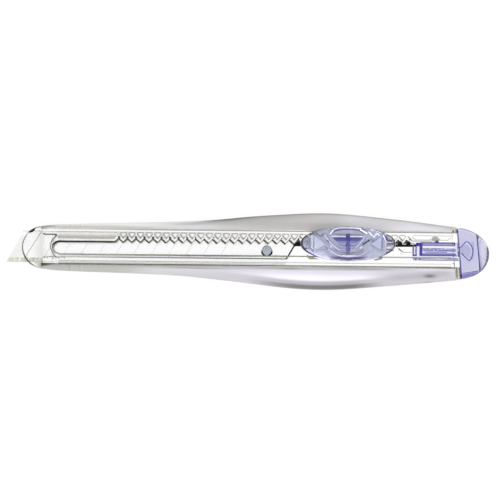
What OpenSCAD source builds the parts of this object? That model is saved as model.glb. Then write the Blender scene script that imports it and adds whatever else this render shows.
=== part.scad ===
// Snap-off knife for standard 9 mm blades: a clear sheath with a toothed slot, a frosted
// comfort grip moulded round it, a thumb slider that carries the blade, and a rear cap.
// The knife lies on its back: +X runs to the cap, +Z is the side with the thumb slider.

/* [Body] */
// Length from the nose to the end of the cap
body_len = 134; // [120:1:150]
// Radius of the round nose, seen from above
nose_r = 6; // [5.6:0.1:6.6]
// Length of the clear nose in front of the grip
nose_len = 5.5; // [4:0.5:5.5]
// How far the nose sits below the axis of the slot
nose_drop = 0.35; // [0:0.05:0.6]
// Chamfer round the nose, top and bottom
nose_chamfer = 0.4; // [0.2:0.1:0.8]
// Radius that the nose thins down with towards the front
nose_crown_r = 14; // [12:1:30]
// Length of the cap on the axis of the slot
cap_len = 9; // [8:0.5:12]
// Length of the clear collar between the grip and the cap
collar_len = 1.2; // [0.8:0.1:2]
// Lean of the seam between the body and the cap, in degrees
seam_lean = 5.4; // [0:0.2:8]

/* [Grip] */
// Reach of the upper side of the grip at the nose
up_front = 5.75; // [5.7:0.05:6.2]
// Reach of the upper side where the palm swell starts
up_waist = 7.5; // [7:0.1:8]
// Reach of the upper side at the palm swell
up_palm = 10.25; // [9:0.25:12]
// Reach of the upper side at the cap
up_rear = 6.35; // [6.2:0.05:7.5]
// Reach of the lower side of the grip at the nose
down_front = 6.5; // [6.3:0.05:7]
// Reach of the lower side where the palm swell starts
down_waist = 8.2; // [7.5:0.1:9]
// Reach of the lower side at the palm swell
down_palm = 11.8; // [10:0.25:13]
// Reach of the lower side at the cap
down_rear = 8.35; // [7:0.05:9.5]
// Distance of the waist from the nose
waist_at = 45; // [38:1:50]
// Distance of the palm swell from the nose
palm_at = 86; // [78:1:92]
// Height at which the grip is widest
grip_mid_z = 3.2; // [2.9:0.1:3.4]
// Height of the sides above that line, at the palm
grip_rise = 3.9; // [3.7:0.1:4]
// Height of the sides above that line, at the nose and the cap
grip_end_rise = 3.6; // [3.5:0.05:3.7]
// Thickness of the back of the grip under the sheath
grip_back = 1.4; // [1:0.1:1.6]

/* [Sheath] */
// Width of the sheath under the grip
sheath_w = 10.4; // [10.3:0.1:10.6]
// Thickness of the sheath's floor
floor_t = 1; // [0.7:0.1:1.1]
// Height inside the sheath, from its floor to the deck
channel_h = 2.2; // [2:0.1:2.3]
// Thickness of the deck that the slot is cut through
deck_t = 2.4; // [2.3:0.1:2.8]
// Width of the raised deck
deck_w = 9.74; // [9.5:0.1:10.2]
// Height of the sheath's shoulders, where the grip laps over it
shoulder_h = 3.8; // [3.4:0.1:3.9]

/* [Slot] */
// Distance of the slot's round end from the nose
slot_start = 8.8; // [8.4:0.1:10]
// Width of the slot in front of the teeth
slot_w = 3.46; // [3.2:0.02:3.6]
// Distance of the slot's lower edge from the axis
slot_low = 2; // [1.9:0.05:2.2]
// Distance of the slot's upper edge from the axis, behind the teeth
slot_rear_up = 2.3; // [2.2:0.05:2.5]
// Distance from the nose to the front window in the deck
window_start = 6; // [5.7:0.1:6.4]
// Height of the front window
window_w = 6.4; // [5:0.2:7]
// Web between the front window and the slot
window_web = 0.5; // [0.4:0.1:0.8]

/* [Rack] */
// Pitch of the teeth
tooth_pitch = 2.44; // [2.3:0.02:2.5]
// Depth of the teeth
tooth_h = 1.12; // [0.9:0.02:1.3]
// Distance of the tooth tips from the axis
tooth_tip_y = 1.15; // [1.1:0.05:1.3]
// Distance from the nose to the first valley
rack_start = 27.78; // [26:0.02:30]
// Number of teeth that the slider can go back from where it rests
back_teeth = 4; // [2:1:5]

/* [Blade] */
// Length of the blade along its cutting edge
blade_len = 80; // [78:1:84]
// Width of the blade
blade_w = 9; // [8.8:0.1:9]
// Thickness of the blade
blade_t = 0.38; // [0.3:0.02:0.5]
// Angle of the point and of the score lines
blade_angle = 60; // [50:1:70]
// Spacing of the score lines along the blade
segment = 5; // [4:0.5:6]
// Number of score lines
score_count = 12; // [6:1:12]
// Width of a score line
score_w = 0.16; // [0.1:0.02:0.3]
// Depth of a score line
score_depth = 0.1; // [0.06:0.02:0.14]
// Height of the ground bevel at the cutting edge
bevel_h = 1.3; // [0.8:0.1:1.8]
// Radius of the hole near the tail
hole_r = 1.55; // [1.4:0.05:1.7]
// Distance of the hole from the tail corner of the cutting edge
hole_from_tail = 5.2; // [4.5:0.1:6]
// Distance of the hole's centre below the axis
hole_drop = 0.7; // [0.4:0.1:0.9]

/* [Slider] */
// Distance from the blade's hole back to the pawl
pin_to_pawl = 8.82; // [8:0.02:9.5]
// Distance from the pawl back to the middle of the knob
pawl_to_knob = 14.28; // [13.8:0.02:15]
// Length of the knob
knob_len = 27.2; // [24:0.4:30]
// Width of the knob
knob_w = 9.9; // [9:0.1:10.6]
// Height of the knob above its base plate
knob_h = 3.4; // [2.8:0.1:4]
// Distance of the knob's middle above the axis
knob_up = 1.5; // [1:0.1:1.6]
// Radius of the knob's crown along the knife
crown_long_r = 44; // [38:1:60]
// Radius of the knob's crown across the knife
crown_cross_r = 14; // [11:0.5:20]
// Length of the thumb hollow in the knob
dish_len = 14.3; // [12:0.1:17]
// Width of the thumb hollow
dish_w = 8.3; // [7.5:0.1:8.6]
// Depth of the thumb hollow
dish_depth = 0.9; // [0.7:0.1:1.1]
// Width of the rib across the thumb hollow
rib_w = 0.8; // [0.6:0.1:1.4]
// Length of the rib across the thumb hollow
rib_len = 6; // [4:0.2:6.6]
// Length of the clear base plate
base_len = 21.8; // [20:0.2:24]
// Thickness of the base plate
base_t = 0.55; // [0.4:0.05:0.8]
// Reach of the base plate below the axis
base_low = 3.1; // [2.6:0.1:3.6]
// Reach of the base plate above the axis
base_up = 4.6; // [4:0.1:4.8]
// Length of the stem that runs in the slot
stem_len = 16.8; // [14:0.2:17]
// Length of the carriage in front of the blade's hole
carriage_front = 3.5; // [2.5:0.5:5]
// Length of the carriage behind the blade's hole
carriage_rear = 39.5; // [36:0.5:40]
// Thickness of the carriage
carriage_t = 1.35; // [1.1:0.05:1.45]
// Width of the carriage
carriage_w = 8.8; // [8.4:0.1:8.9]

/* [Lock spring] */
// Thickness of the spring steel
spring_t = 0.8; // [0.5:0.1:0.9]
// Height of the spring above the underside of the deck
spring_lift = 0.05; // [0.02:0.01:0.2]
// Width of the spring's limb
limb_w = 0.4; // [0.3:0.05:0.45]
// Length of the rear limb, from the middle of the knob
limb_rear = 19.6; // [19:0.2:20]
// Number of teeth from the front pawl to the first rear one
rear_pawl = 12; // [10:1:12]
// Length of the foot that is held in the stem
foot_len = 5; // [3:0.5:7]
// Depth of the foot in the stem
foot_depth = 1.2; // [0.8:0.1:1.4]

/* [Cap] */
// Height of the cap above the line where the grip is widest
cap_rise = 4; // [3.8:0.1:4.2]
// Thickness of the latch tongue
tongue_t = 1; // [0.8:0.1:1.1]
// Depth of the tongue's top below the top of the deck
tongue_drop = 0.3; // [0.1:0.05:0.4]
// Length of the latch tongue in front of the cap
tongue_len = 13.2; // [11:0.2:14]
// Half the width of the latch tongue
tongue_half = 1.95; // [1.7:0.05:1.95]
// Distance of the latch bump in front of the cap
bump_at = 5.8; // [5:0.1:7]
// Height of the latch bump
bump_h = 0.44; // [0.4:0.02:0.44]
// Length of the fan-shaped head in the cap
fan_len = 3.4; // [3:0.1:3.8]
// Width of the fan-shaped head at its end
fan_w = 5.3; // [4.6:0.1:5.6]
// Width of the neck between the tongue and the head
neck_w = 1.9; // [1.6:0.1:2.4]
// Depth of the snap slot in the end of the cap
snap_depth = 3.6; // [3:0.1:4]
// Gap of the snap slot
snap_gap = 0.6; // [0.5:0.05:0.8]

/* [Clearances] */
// Gap on each side of the blade and the carriage in the channel
run_gap = 0.1; // [0.06:0.01:0.13]
// Gap between the slider and the top of the deck
deck_gap = 0.06; // [0.04:0.01:0.15]
// Gap between the pawl and the teeth, and between the stem and the slot
tooth_gap = 0.1; // [0.06:0.01:0.14]
// Gap between the sheath and the cap
cap_gap = 0.08; // [0.05:0.01:0.2]
// Gap round the pin in the blade's hole
pin_gap = 0.08; // [0.04:0.01:0.15]

/* [Hidden] */
eps = 0.01;
far = 200;

// Heights, from the back of the grip up
floor_z = grip_back + floor_t;
deck_under_z = floor_z + channel_h;
deck_z = deck_under_z + deck_t;
shoulder_z = grip_back + shoulder_h;
blade_z = floor_z + run_gap;
carriage_z = blade_z + blade_t + run_gap;
stem_z = carriage_z + carriage_t;
plate_z = deck_z + deck_gap;
knob_z = plate_z + base_t;
tongue_z = deck_z - tongue_drop - tongue_t;
spring_z = deck_under_z + spring_lift;

// Places along the knife, first from the nose: the rack ends at the tongue, the slider rests
// back_teeth before its stem would meet the tongue, and blade_out is how far the tip stands out
tongue_at = body_len - cap_len - tongue_len;
tooth_count = floor((tongue_at - rack_start) / tooth_pitch) + 1;
stem_at = pawl_to_knob + stem_len / 2 + tooth_gap;
rest_tooth = floor((tongue_at - rack_start - stem_at) / tooth_pitch) - back_teeth;
blade_out = blade_len - hole_from_tail + pin_to_pawl - rack_start - rest_tooth * tooth_pitch;
nose_x = (max(blade_out, 0) - body_len) / 2;
cap_end_x = nose_x + body_len;
tip_x = nose_x - blade_out;
pin_x = tip_x + blade_len - hole_from_tail;
pawl_x = pin_x + pin_to_pawl;
knob_x = pawl_x + pawl_to_knob;
rack_x = nose_x + rack_start;
grip_x = nose_x + nose_len;
seam_x = cap_end_x - cap_len;
slot_x = nose_x + slot_start;

// The grip is wider below the slot's axis, so the axis lies above the middle of the knife
axis_y = (down_palm - up_palm) / 2;
slot_r = slot_w / 2;
slot_up = slot_w - slot_low;
slot_mid = (slot_up - slot_low) / 2;
channel_hw = blade_w / 2 + run_gap;
blade_mid = -0.17;
spring_top = tooth_tip_y - tooth_gap;
stem_low = slot_low - tooth_gap;
stem_up = spring_top - limb_w - tooth_gap;
tooth_slope = 2 * tooth_h / tooth_pitch;
bump_x = seam_x - bump_at;
tongue_x = nose_x + tongue_at;
step_x = rack_x + tooth_count * tooth_pitch + 0.3;
section_power = 2.5;
// The cap tapers round a line a little below the middle of the knife, to a small flat
cap_mid = -0.18;
cap_skirt = 1;
cap_tip_r = 0.1;
// The rib in the thumb hollow starts below its floor and stays under the crown
rib_root = 0.4;
rib_drop = 0.2;

// A smooth curve through knots [x, y], as a cubic on each stretch
function knot_slope(k, i) =
    let(a = max(i - 1, 0), b = min(i + 1, len(k) - 1))
    (k[b][1] - k[a][1]) / (k[b][0] - k[a][0]);
function stretch(k, x, i = 0) = i >= len(k) - 2 || x < k[i + 1][0] ? i : stretch(k, x, i + 1);
function curve(k, x) =
    let(i = stretch(k, x), d = k[i + 1][0] - k[i][0], t = (x - k[i][0]) / d)
    k[i][1] * (2 * t ^ 3 - 3 * t ^ 2 + 1) + k[i + 1][1] * (3 * t ^ 2 - 2 * t ^ 3)
    + knot_slope(k, i) * d * (t ^ 3 - 2 * t ^ 2 + t) + knot_slope(k, i + 1) * d * (t ^ 3 - t ^ 2);

// Outline of the grip on each side of the axis
waist_x = nose_x + waist_at;
palm_x = nose_x + palm_at;
function side(front, waist, palm, rear) = [
    [grip_x, front], [grip_x + 5, front + 0.3 * (waist - front)], [waist_x, waist],
    [(waist_x + palm_x) / 2, waist + 0.66 * (palm - waist)], [palm_x, palm],
    [(palm_x + seam_x) / 2, rear + 0.62 * (palm - rear)], [seam_x + 2, rear]];
up_side = side(up_front, up_waist, up_palm, up_rear);
down_side = side(down_front, down_waist, down_palm, down_rear);
rise_side = [[grip_x, grip_end_rise], [palm_x, grip_rise], [seam_x + 2, grip_end_rise]];

// One cross-section of the body: a rounded oblong that is wider below the axis than above
function power(v, p) = sign(v) * abs(v) ^ p;
function ring(x, mid, up, down, rise) = [
    for (a = [0:12:348])
        let(c = power(cos(a), 2 / section_power), s = power(sin(a), 2 / section_power))
        [x, axis_y + mid + (c > 0 ? up : down) * c, grip_mid_z + rise * s]];
function body_ring(x) =
    ring(x, 0, curve(up_side, x), curve(down_side, x), curve(rise_side, x));

// A closed solid through rings of points
module loft(rings) {
    n = len(rings[0]);
    m = len(rings);
    polyhedron(
        points = [for (r = rings) each r],
        faces = concat(
            [[for (i = [0:n - 1]) i]],
            [[for (i = [n - 1:-1:0]) (m - 1) * n + i]],
            [for (j = [0:m - 2], i = [0:n - 1])
                let(k = (i + 1) % n)
                each [[j * n + i, (j + 1) * n + i, (j + 1) * n + k],
                      [j * n + i, (j + 1) * n + k, j * n + k]]]));
}

// Everything in front of the seam that leans with the cap, moved along by dx
module ahead_of(dx) {
    translate([seam_x + dx, axis_y, 0]) rotate([0, 0, seam_lean]) translate([-far, -far / 2, 0])
        cube([far, far, far / 4]);
}

// The body's outer shape between two stations, flat on its back
module body_shape(x0, x1, steps) {
    intersection() {
        loft([for (i = [0:steps]) body_ring(x0 + (x1 - x0) * i / steps)]);
        translate([-far / 2, -far / 2, 0]) cube([far, far, far / 4]);
    }
}

// A block from x0 to x1, between two distances from the axis
module block(x0, x1, low, up, z0, z1) {
    translate([x0, axis_y - low, z0]) cube([x1 - x0, low + up, z1 - z0]);
}

// The upper edge of the slot, from its rear end to its front end
function slot_edge() = concat(
    [[far, slot_rear_up], [bump_x + bump_h + tooth_gap, slot_rear_up],
     [bump_x, slot_rear_up + bump_h + tooth_gap],
     [bump_x - bump_h - tooth_gap, slot_rear_up],
     [rack_x + tooth_count * tooth_pitch, slot_rear_up]],
    [for (i = [tooth_count - 1:-1:0]) each [
        [rack_x + (i + 0.5) * tooth_pitch, tooth_tip_y],
        [rack_x + i * tooth_pitch, tooth_tip_y + tooth_h]]],
    [[rack_x - (tooth_tip_y + tooth_h - slot_up) / tooth_slope, slot_up], [slot_x + slot_r, slot_up]]);

module slot_cut() {
    translate([0, axis_y, deck_under_z - eps])
        linear_extrude(height = deck_t + 2 * eps)
            polygon(concat([[slot_x + slot_r, -slot_low], [far, -slot_low]], slot_edge()));
    translate([slot_x + slot_r, axis_y + slot_mid, deck_under_z - eps])
        cylinder(r = slot_r, h = deck_t + 2 * eps, $fn = 48);
}

// The window in front of the slot, shaped round the slot's end
module window_cut() {
    web_x = slot_x - window_web;
    half = window_w / 2;
    translate([0, axis_y, deck_under_z - eps]) linear_extrude(height = deck_t + 2 * eps)
        polygon([[nose_x + window_start, half], [web_x + 1.9, half], [web_x, slot_mid + 0.8],
                 [web_x, slot_mid - 0.6], [web_x + 1, -half], [nose_x + window_start, -half]]);
}

// A wide round bar across the knife, centred at height z, that the nose thins down with
module nose_crown(z) {
    translate([grip_x, far / 2, z]) rotate([90, 0, 0])
        cylinder(r = nose_crown_r, h = far, $fn = 180);
}

// The round nose, chamfered above and below
module nose() {
    cx = nose_x + nose_r;
    intersection() {
        translate([cx, axis_y - nose_drop, 0]) {
            translate([0, 0, nose_chamfer])
                cylinder(r = nose_r, h = deck_z - 2 * nose_chamfer, $fn = 96);
            cylinder(r1 = nose_r - nose_chamfer, r2 = nose_r, h = nose_chamfer, $fn = 96);
            translate([0, 0, deck_z - nose_chamfer])
                cylinder(r1 = nose_r, r2 = nose_r - nose_chamfer, h = nose_chamfer, $fn = 96);
        }
        translate([nose_x - 1, -far / 2, 0]) cube([nose_len + 1, far, deck_z]);
        nose_crown(deck_z - nose_crown_r);
        nose_crown(nose_crown_r);
    }
}

module sheath() {
    hw = sheath_w / 2;
    color([0.93, 0.94, 0.93, 0.5]) difference() {
        union() {
            nose();
            block(grip_x - eps, seam_x - collar_len, hw, hw, grip_back, shoulder_z);
            block(grip_x - eps, seam_x - collar_len, deck_w / 2, deck_w / 2, grip_back, deck_z);
            difference() {
                intersection() {
                    union() {
                        body_shape(seam_x - 5, seam_x + 2, 4);
                        block(seam_x - 5, seam_x + 2, deck_w / 2, deck_w / 2, grip_back, deck_z);
                    }
                    ahead_of(-cap_gap);
                }
                ahead_of(-cap_gap - collar_len);
            }
            intersection() {
                union() {
                    block(seam_x - 6, seam_x, hw, hw, grip_back, shoulder_z);
                    block(seam_x - 6, seam_x, deck_w / 2, deck_w / 2, grip_back, deck_z);
                }
                ahead_of(-cap_gap - collar_len + eps);
            }
        }
        block(nose_x - 1, far, channel_hw - blade_mid, channel_hw + blade_mid,
              floor_z, carriage_z);
        block(slot_x - window_web / 2, far, channel_hw - blade_mid, channel_hw + blade_mid,
              floor_z, deck_under_z);
        slot_cut();
        window_cut();
    }
}

module comfort_grip() {
    hw = sheath_w / 2;
    color([0.78, 0.76, 0.76, 0.8]) difference() {
        intersection() {
            body_shape(grip_x, seam_x + 2, 32);
            ahead_of(-cap_gap - collar_len);
        }
        block(grip_x - 1, far, hw, hw, grip_back, shoulder_z);
        block(grip_x - 1, far, deck_w / 2, deck_w / 2, grip_back, far);
    }
}

// A point on the blade: distance along the cutting edge and height above that edge
function on_blade(along, high) =
    [tip_x + along + high / tan(blade_angle), axis_y + blade_mid - blade_w / 2 + high];

module blade() {
    edge_y = axis_y + blade_mid - blade_w / 2;
    color([0.86, 0.87, 0.88]) difference() {
        intersection() {
            translate([0, 0, blade_z]) linear_extrude(height = blade_t)
                polygon([on_blade(0, 0), on_blade(blade_len, 0), on_blade(blade_len, blade_w),
                         on_blade(0, blade_w)]);
            translate([-far / 2, edge_y, blade_z + blade_t / 2]) rotate([90, 0, 90])
                linear_extrude(height = far)
                    polygon([[0, 0], [bevel_h, blade_t / 2], [blade_w + 1, blade_t / 2],
                             [blade_w + 1, -blade_t / 2], [bevel_h, -blade_t / 2]]);
        }
        for (i = [1:score_count])
            translate([0, 0, blade_z + blade_t - score_depth])
                linear_extrude(height = score_depth + eps)
                    polygon([on_blade(i * segment, bevel_h), on_blade(i * segment + score_w, bevel_h),
                             on_blade(i * segment + score_w, blade_w + eps),
                             on_blade(i * segment, blade_w + eps)]);
        translate([pin_x, axis_y - hole_drop, blade_z - 1])
            cylinder(r = hole_r, h = blade_t + 2, $fn = 48);
    }
}

module blade_pin() {
    color([0.6, 0.62, 0.68]) translate([pin_x, axis_y - hole_drop, blade_z])
        cylinder(r = hole_r - pin_gap, h = carriage_z + carriage_t - blade_z, $fn = 48);
}

module blade_carriage() {
    hw = carriage_w / 2;
    color([0.9, 0.91, 0.9, 0.5]) difference() {
        block(pin_x - carriage_front, pin_x + carriage_rear, hw - blade_mid, hw + blade_mid,
              carriage_z, stem_z);
        translate([pin_x, axis_y - hole_drop, carriage_z - 1])
            cylinder(r = hole_r - pin_gap, h = carriage_t + 2, $fn = 48);
    }
}

module slider_base() {
    color([0.9, 0.91, 0.93, 0.5]) difference() {
        union() {
            block(knob_x - base_len / 2, knob_x + base_len / 2, base_low, base_up, plate_z, knob_z);
            block(knob_x - stem_len / 2, knob_x + stem_len / 2, stem_low, stem_up, stem_z, knob_z);
        }
        block(knob_x - foot_len / 2, knob_x + foot_len / 2, foot_depth - stem_up, stem_up + 1,
              spring_z, spring_z + spring_t);
    }
}

// A ring whose outer side is curved by long_r along the knife and by cross_r across it
module barrel(long_r, cross_r) {
    rotate([90, 0, 0]) rotate_extrude($fn = 180) intersection() {
        translate([long_r - cross_r, 0]) circle(r = cross_r, $fn = 180);
        translate([long_r - cross_r, -cross_r]) square([cross_r + 1, 2 * cross_r]);
    }
}

// The radius of a hollow of a given width and depth, sunk in a crown
function hollow_r(width, depth, crown) = 1 / (8 * depth / width ^ 2 - 1 / crown);

module thumb_knob() {
    top_z = knob_z + knob_h;
    long_r = hollow_r(dish_len, dish_depth, crown_long_r);
    cross_r = hollow_r(dish_w, dish_depth, crown_cross_r);
    color([0.66, 0.66, 0.9, 0.7]) translate([knob_x, axis_y + knob_up, 0]) {
        difference() {
            intersection() {
                translate([0, 0, knob_z]) linear_extrude(height = knob_h)
                    polygon([for (t = [0:6:354]) [knob_len / 2 * cos(t), knob_w / 2 * sin(t)]]);
                translate([0, 0, top_z - crown_long_r]) barrel(crown_long_r, crown_cross_r);
            }
            translate([0, 0, top_z - dish_depth + long_r]) barrel(long_r, cross_r);
        }
        intersection() {
            translate([-rib_w / 2, -rib_len / 2, top_z - dish_depth - rib_root])
                cube([rib_w, rib_len, knob_h]);
            translate([0, 0, top_z - crown_long_r - rib_drop]) barrel(crown_long_r, crown_cross_r);
        }
    }
}

// A stamped leaf: a limb along the tooth tips, with a pawl in front, two at the rear and a
// foot in the stem
module lock_spring() {
    apex = tooth_tip_y + tooth_h - tooth_gap;
    half = (apex - spring_top) / tooth_slope;
    low = spring_top - limb_w;
    color([0.2, 0.2, 0.22]) translate([0, axis_y, spring_z]) linear_extrude(height = spring_t)
        polygon(concat([[pawl_x - half, low], [knob_x - foot_len / 2, low],
                 [knob_x - foot_len / 2, stem_up - foot_depth],
                 [knob_x + foot_len / 2, stem_up - foot_depth], [knob_x + foot_len / 2, low],
                 [knob_x + limb_rear, low], [knob_x + limb_rear, spring_top]],
                [for (i = [rear_pawl + 1, rear_pawl, 0], side = [1, 0, -1])
                    [pawl_x + i * tooth_pitch + side * min(half, tooth_pitch / 2 - eps),
                     side == 0 ? apex : spring_top]]));
}

// Outline of the latch, seen from above: a tongue stepped clear of the last tooth, a neck and
// a fan-shaped head
function latch_outline(grow) = [
    [tongue_x, -tongue_half], [seam_x - 0.3, -tongue_half],
    [seam_x + 0.3, -neck_w / 2 - grow], [seam_x + 0.9, -neck_w / 2 - grow],
    [seam_x + 0.9 + fan_len, -fan_w / 2 - grow], [seam_x + 0.9 + fan_len + grow, fan_w / 2 + grow],
    [seam_x + 0.9, neck_w / 2 + grow], [seam_x + 0.3, neck_w / 2 + grow],
    [seam_x - 0.3, tongue_half], [bump_x + bump_h, tongue_half],
    [bump_x, tongue_half + bump_h], [bump_x - bump_h, tongue_half],
    [step_x, tongue_half], [step_x, spring_top], [tongue_x, spring_top]];

module cap_latch() {
    color([0.45, 0.45, 0.75, 0.8]) translate([0, axis_y, tongue_z])
        linear_extrude(height = tongue_t) polygon(latch_outline(0));
}

// One cross-section of the cap, a share t of the way from in front of the seam to its end
function cap_ring(t) =
    let(x = seam_x - cap_skirt + t * (cap_len + cap_skirt), w = (1 - t ^ 2) ^ 0.5,
        h = (1 - t ^ 3) ^ 0.5, mid = (cap_mid - axis_y) * (1 - w))
    ring(x, mid, (up_rear + mid) * w + cap_tip_r, (down_rear - mid) * w + cap_tip_r,
         cap_tip_r + (cap_rise - cap_tip_r) * h);

module rear_cap() {
    color([0.75, 0.75, 0.93, 0.7]) difference() {
        intersection() {
            loft([for (a = [0:8:88]) cap_ring(sin(a))]);
            translate([-far / 2, -far / 2, 0]) cube([far, far, far / 4]);
        }
        ahead_of(0);
        translate([0, axis_y, tongue_z]) linear_extrude(height = tongue_t)
            polygon(latch_outline(0));
        translate([cap_end_x - snap_depth, axis_y, grip_mid_z - snap_gap / 2])
            rotate([0, 0, seam_lean]) translate([0, -far / 2, 0]) cube([far, far, snap_gap]);
    }
}

sheath();
comfort_grip();
blade();
blade_pin();
blade_carriage();
slider_base();
thumb_knob();
lock_spring();
rear_cap();
cap_latch();
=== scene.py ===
"""The looks of a snap-off knife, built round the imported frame. Lengths are in millimetres until add_object()
scales them to metres. x runs along the knife to its cap, y across it and z up from its flat back. v is y
measured from the axis of the slot."""
from math import acos, copysign, cos, exp, hypot, pi, radians, sin, sqrt, tan

import bmesh
import bpy
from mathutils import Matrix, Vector


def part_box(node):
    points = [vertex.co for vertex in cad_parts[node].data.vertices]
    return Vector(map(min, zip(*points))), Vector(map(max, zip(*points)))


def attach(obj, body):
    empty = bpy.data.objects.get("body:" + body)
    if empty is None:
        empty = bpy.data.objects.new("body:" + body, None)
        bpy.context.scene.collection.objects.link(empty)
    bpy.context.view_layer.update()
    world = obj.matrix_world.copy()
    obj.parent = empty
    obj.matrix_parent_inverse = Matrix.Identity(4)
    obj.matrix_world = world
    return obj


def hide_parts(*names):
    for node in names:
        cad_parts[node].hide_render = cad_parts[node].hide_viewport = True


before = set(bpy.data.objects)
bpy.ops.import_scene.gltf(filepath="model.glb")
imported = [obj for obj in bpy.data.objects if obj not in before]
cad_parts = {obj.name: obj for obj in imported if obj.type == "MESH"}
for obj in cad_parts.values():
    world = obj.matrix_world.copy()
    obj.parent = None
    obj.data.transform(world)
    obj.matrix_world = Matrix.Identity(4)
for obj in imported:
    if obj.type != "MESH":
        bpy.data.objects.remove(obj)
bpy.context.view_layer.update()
MM = 0.001


def span(node):
    """The lowest and highest corners of a CAD node, in millimetres."""
    low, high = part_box(node)
    return low / MM, high / MM


# ---- places taken from the frame ----
BLADE_LOW, BLADE_HIGH = span("blade")
SHEATH_LOW, SHEATH_HIGH = span("sheath")
KNOB_LOW, KNOB_HIGH = span("thumb_knob")
BASE_LOW, BASE_HIGH = span("slider_base")
LATCH_LOW, LATCH_HIGH = span("cap_latch")
SPRING_LOW, SPRING_HIGH = span("lock_spring")
PIN_LOW, PIN_HIGH = span("blade_pin")
GRIP_X, CAP_END = span("comfort_grip")[0].x, span("rear_cap")[1].x

AXIS = (BLADE_LOW.y + BLADE_HIGH.y) / 2 + 0.17      # the slot's axis, across the knife
DECK_TOP, DECK_UNDER = SHEATH_HIGH.z, 4.6           # heights of the deck's two faces
IN_DECK, UNDER_DECK = DECK_TOP - 0.07, DECK_UNDER - 0.03    # heights of the painted lines set in it and under it
DECK_HALF, SHEATH_HALF = 4.87, 5.2                  # half widths of the deck and of the body under it
BACK_T, SHOULDER = 1.4, 5.2                         # heights of the body's back and of its shoulders
NOSE_X = SHEATH_LOW.x
WINDOW_X = NOSE_X + 6                               # the bare nose ends here
SEAM_X = CAP_END - 9                                # the seam between body and cap, on the axis
SEAM_SLOPE = tan(radians(5.4))
SLOT_X, SLOT_R = NOSE_X + 8.8, 1.73                 # the slot's front end and its radius
SLOT_MID, SLOT_DOWN = -0.27, -2.0                   # the slot's middle and its lower wall, from the axis
PITCH, TOOTH_TIP, TOOTH_ROOT = 2.44, 1.15, 2.27     # the rack's pitch, and its tips and roots from the axis
RACK_X = NOSE_X + 27.78                             # the first tooth
TOOTH_COUNT = int((LATCH_LOW.x - RACK_X) / PITCH) + 1
BEVEL_Y = BLADE_LOW.y + 1.3                         # top of the ground bevel


# ---- materials ----
def srgb(*values):
    """A colour written as it shows on a screen, 0 to 255, as the linear colour that Blender wants."""
    return tuple(v / 255 / 12.92 if v <= 10 else ((v / 255 + 0.055) / 1.055) ** 2.4 for v in values)


def principled(mat):
    return mat.node_tree.nodes["Principled BSDF"]


def material(name, colour, **sockets):
    """A Principled material with plain values on its sockets."""
    mat = bpy.data.materials.new(name)
    mat.use_nodes = True
    shader = principled(mat)
    shader.inputs["Base Color"].default_value = (*colour, 1)
    for key, value in sockets.items():
        shader.inputs[key.replace("_", " ")].default_value = value
    return mat


def node(owner, kind, values=(), **settings):
    """A new shader node in a material or a world, with values on some of its inputs."""
    n = owner.node_tree.nodes.new(kind)
    for key, value in settings.items():
        setattr(n, key, value)
    for key, value in values:
        n.inputs[key].default_value = value
    return n


def link(owner, a, out, b, into):
    owner.node_tree.links.new(a.outputs[out], b.inputs[into])


def noise(mat, scale, detail=3.0, stretch=(1, 1, 1)):
    """A noise texture in metres of the row frame, stretched along its axes."""
    mapping = node(mat, "ShaderNodeMapping", [("Scale", stretch)])
    tex = node(mat, "ShaderNodeTexNoise", [("Scale", scale), ("Detail", detail)])
    link(mat, node(mat, "ShaderNodeTexCoord"), "Object", mapping, "Vector")
    link(mat, mapping, "Vector", tex, "Vector")
    return tex


def bump(mat, tex, strength, distance):
    """Bumps the shader's surface with a texture's value."""
    b = node(mat, "ShaderNodeBump", [("Strength", strength), ("Distance", distance)])
    link(mat, tex, "Fac", b, "Height")
    link(mat, b, "Normal", principled(mat), "Normal")


def ramp(owner, source, out, stops):
    """A colour ramp on a value, with stops of (place, colour or grey)."""
    r = node(owner, "ShaderNodeValToRGB")
    elements = r.color_ramp.elements
    while len(elements) < len(stops):
        elements.new(0.5)
    for element, (place, value) in zip(elements, stops):
        element.position = place
        element.color = (*value, 1) if hasattr(value, "__len__") else (value, value, value, 1)
    link(owner, source, out, r, "Fac")
    return r


def clouded(mat, scale, low, high, detail=3.0, stretch=(1, 1, 1)):
    """A ramp on noise between two values."""
    return ramp(mat, noise(mat, scale, detail, stretch), "Fac", [(0.35, low), (0.65, high)])


def mottled(mat, scale, low, high, socket="Base Color", stretch=(1, 1, 1)):
    """Varies one of the shader's sockets with noise between two values."""
    link(mat, clouded(mat, scale, low, high, stretch=stretch), "Color", principled(mat), socket)


def absorb(mat, colour, density):
    """Tints a clear material by its thickness."""
    volume = node(mat, "ShaderNodeVolumeAbsorption", [("Color", (*colour, 1)), ("Density", density)])
    link(mat, volume, "Volume", mat.node_tree.nodes["Material Output"], "Volume")


def coloured_along_x(mat, low, high, stops):
    """Colours a material along x, between two places in millimetres, with stops of (share, colour)."""
    split = node(mat, "ShaderNodeSeparateXYZ")
    scale = node(mat, "ShaderNodeMapRange", [("From Min", low * MM), ("From Max", high * MM)])
    link(mat, node(mat, "ShaderNodeTexCoord"), "Object", split, "Vector")
    link(mat, split, "X", scale, "Value")
    link(mat, ramp(mat, scale, "Result", stops), "Color", principled(mat), "Base Color")


def toned(mat, scale=400, low=0.98, detail=3.0, stretch=(1, 1, 1)):
    """Takes the colour from the tone stored at each point of the mesh, a little clouded with noise; on the
    grip and the lines that tone is painted light and shade.
    """
    tone = node(mat, "ShaderNodeAttribute", attribute_name="tone")
    blend = node(mat, "ShaderNodeMixRGB", [("Fac", 1)], blend_type="MULTIPLY")
    link(mat, tone, "Color", blend, "Color1")
    link(mat, clouded(mat, scale, low, 1.0, detail, stretch), "Color", blend, "Color2")
    link(mat, blend, "Color", principled(mat), "Base Color")


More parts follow.
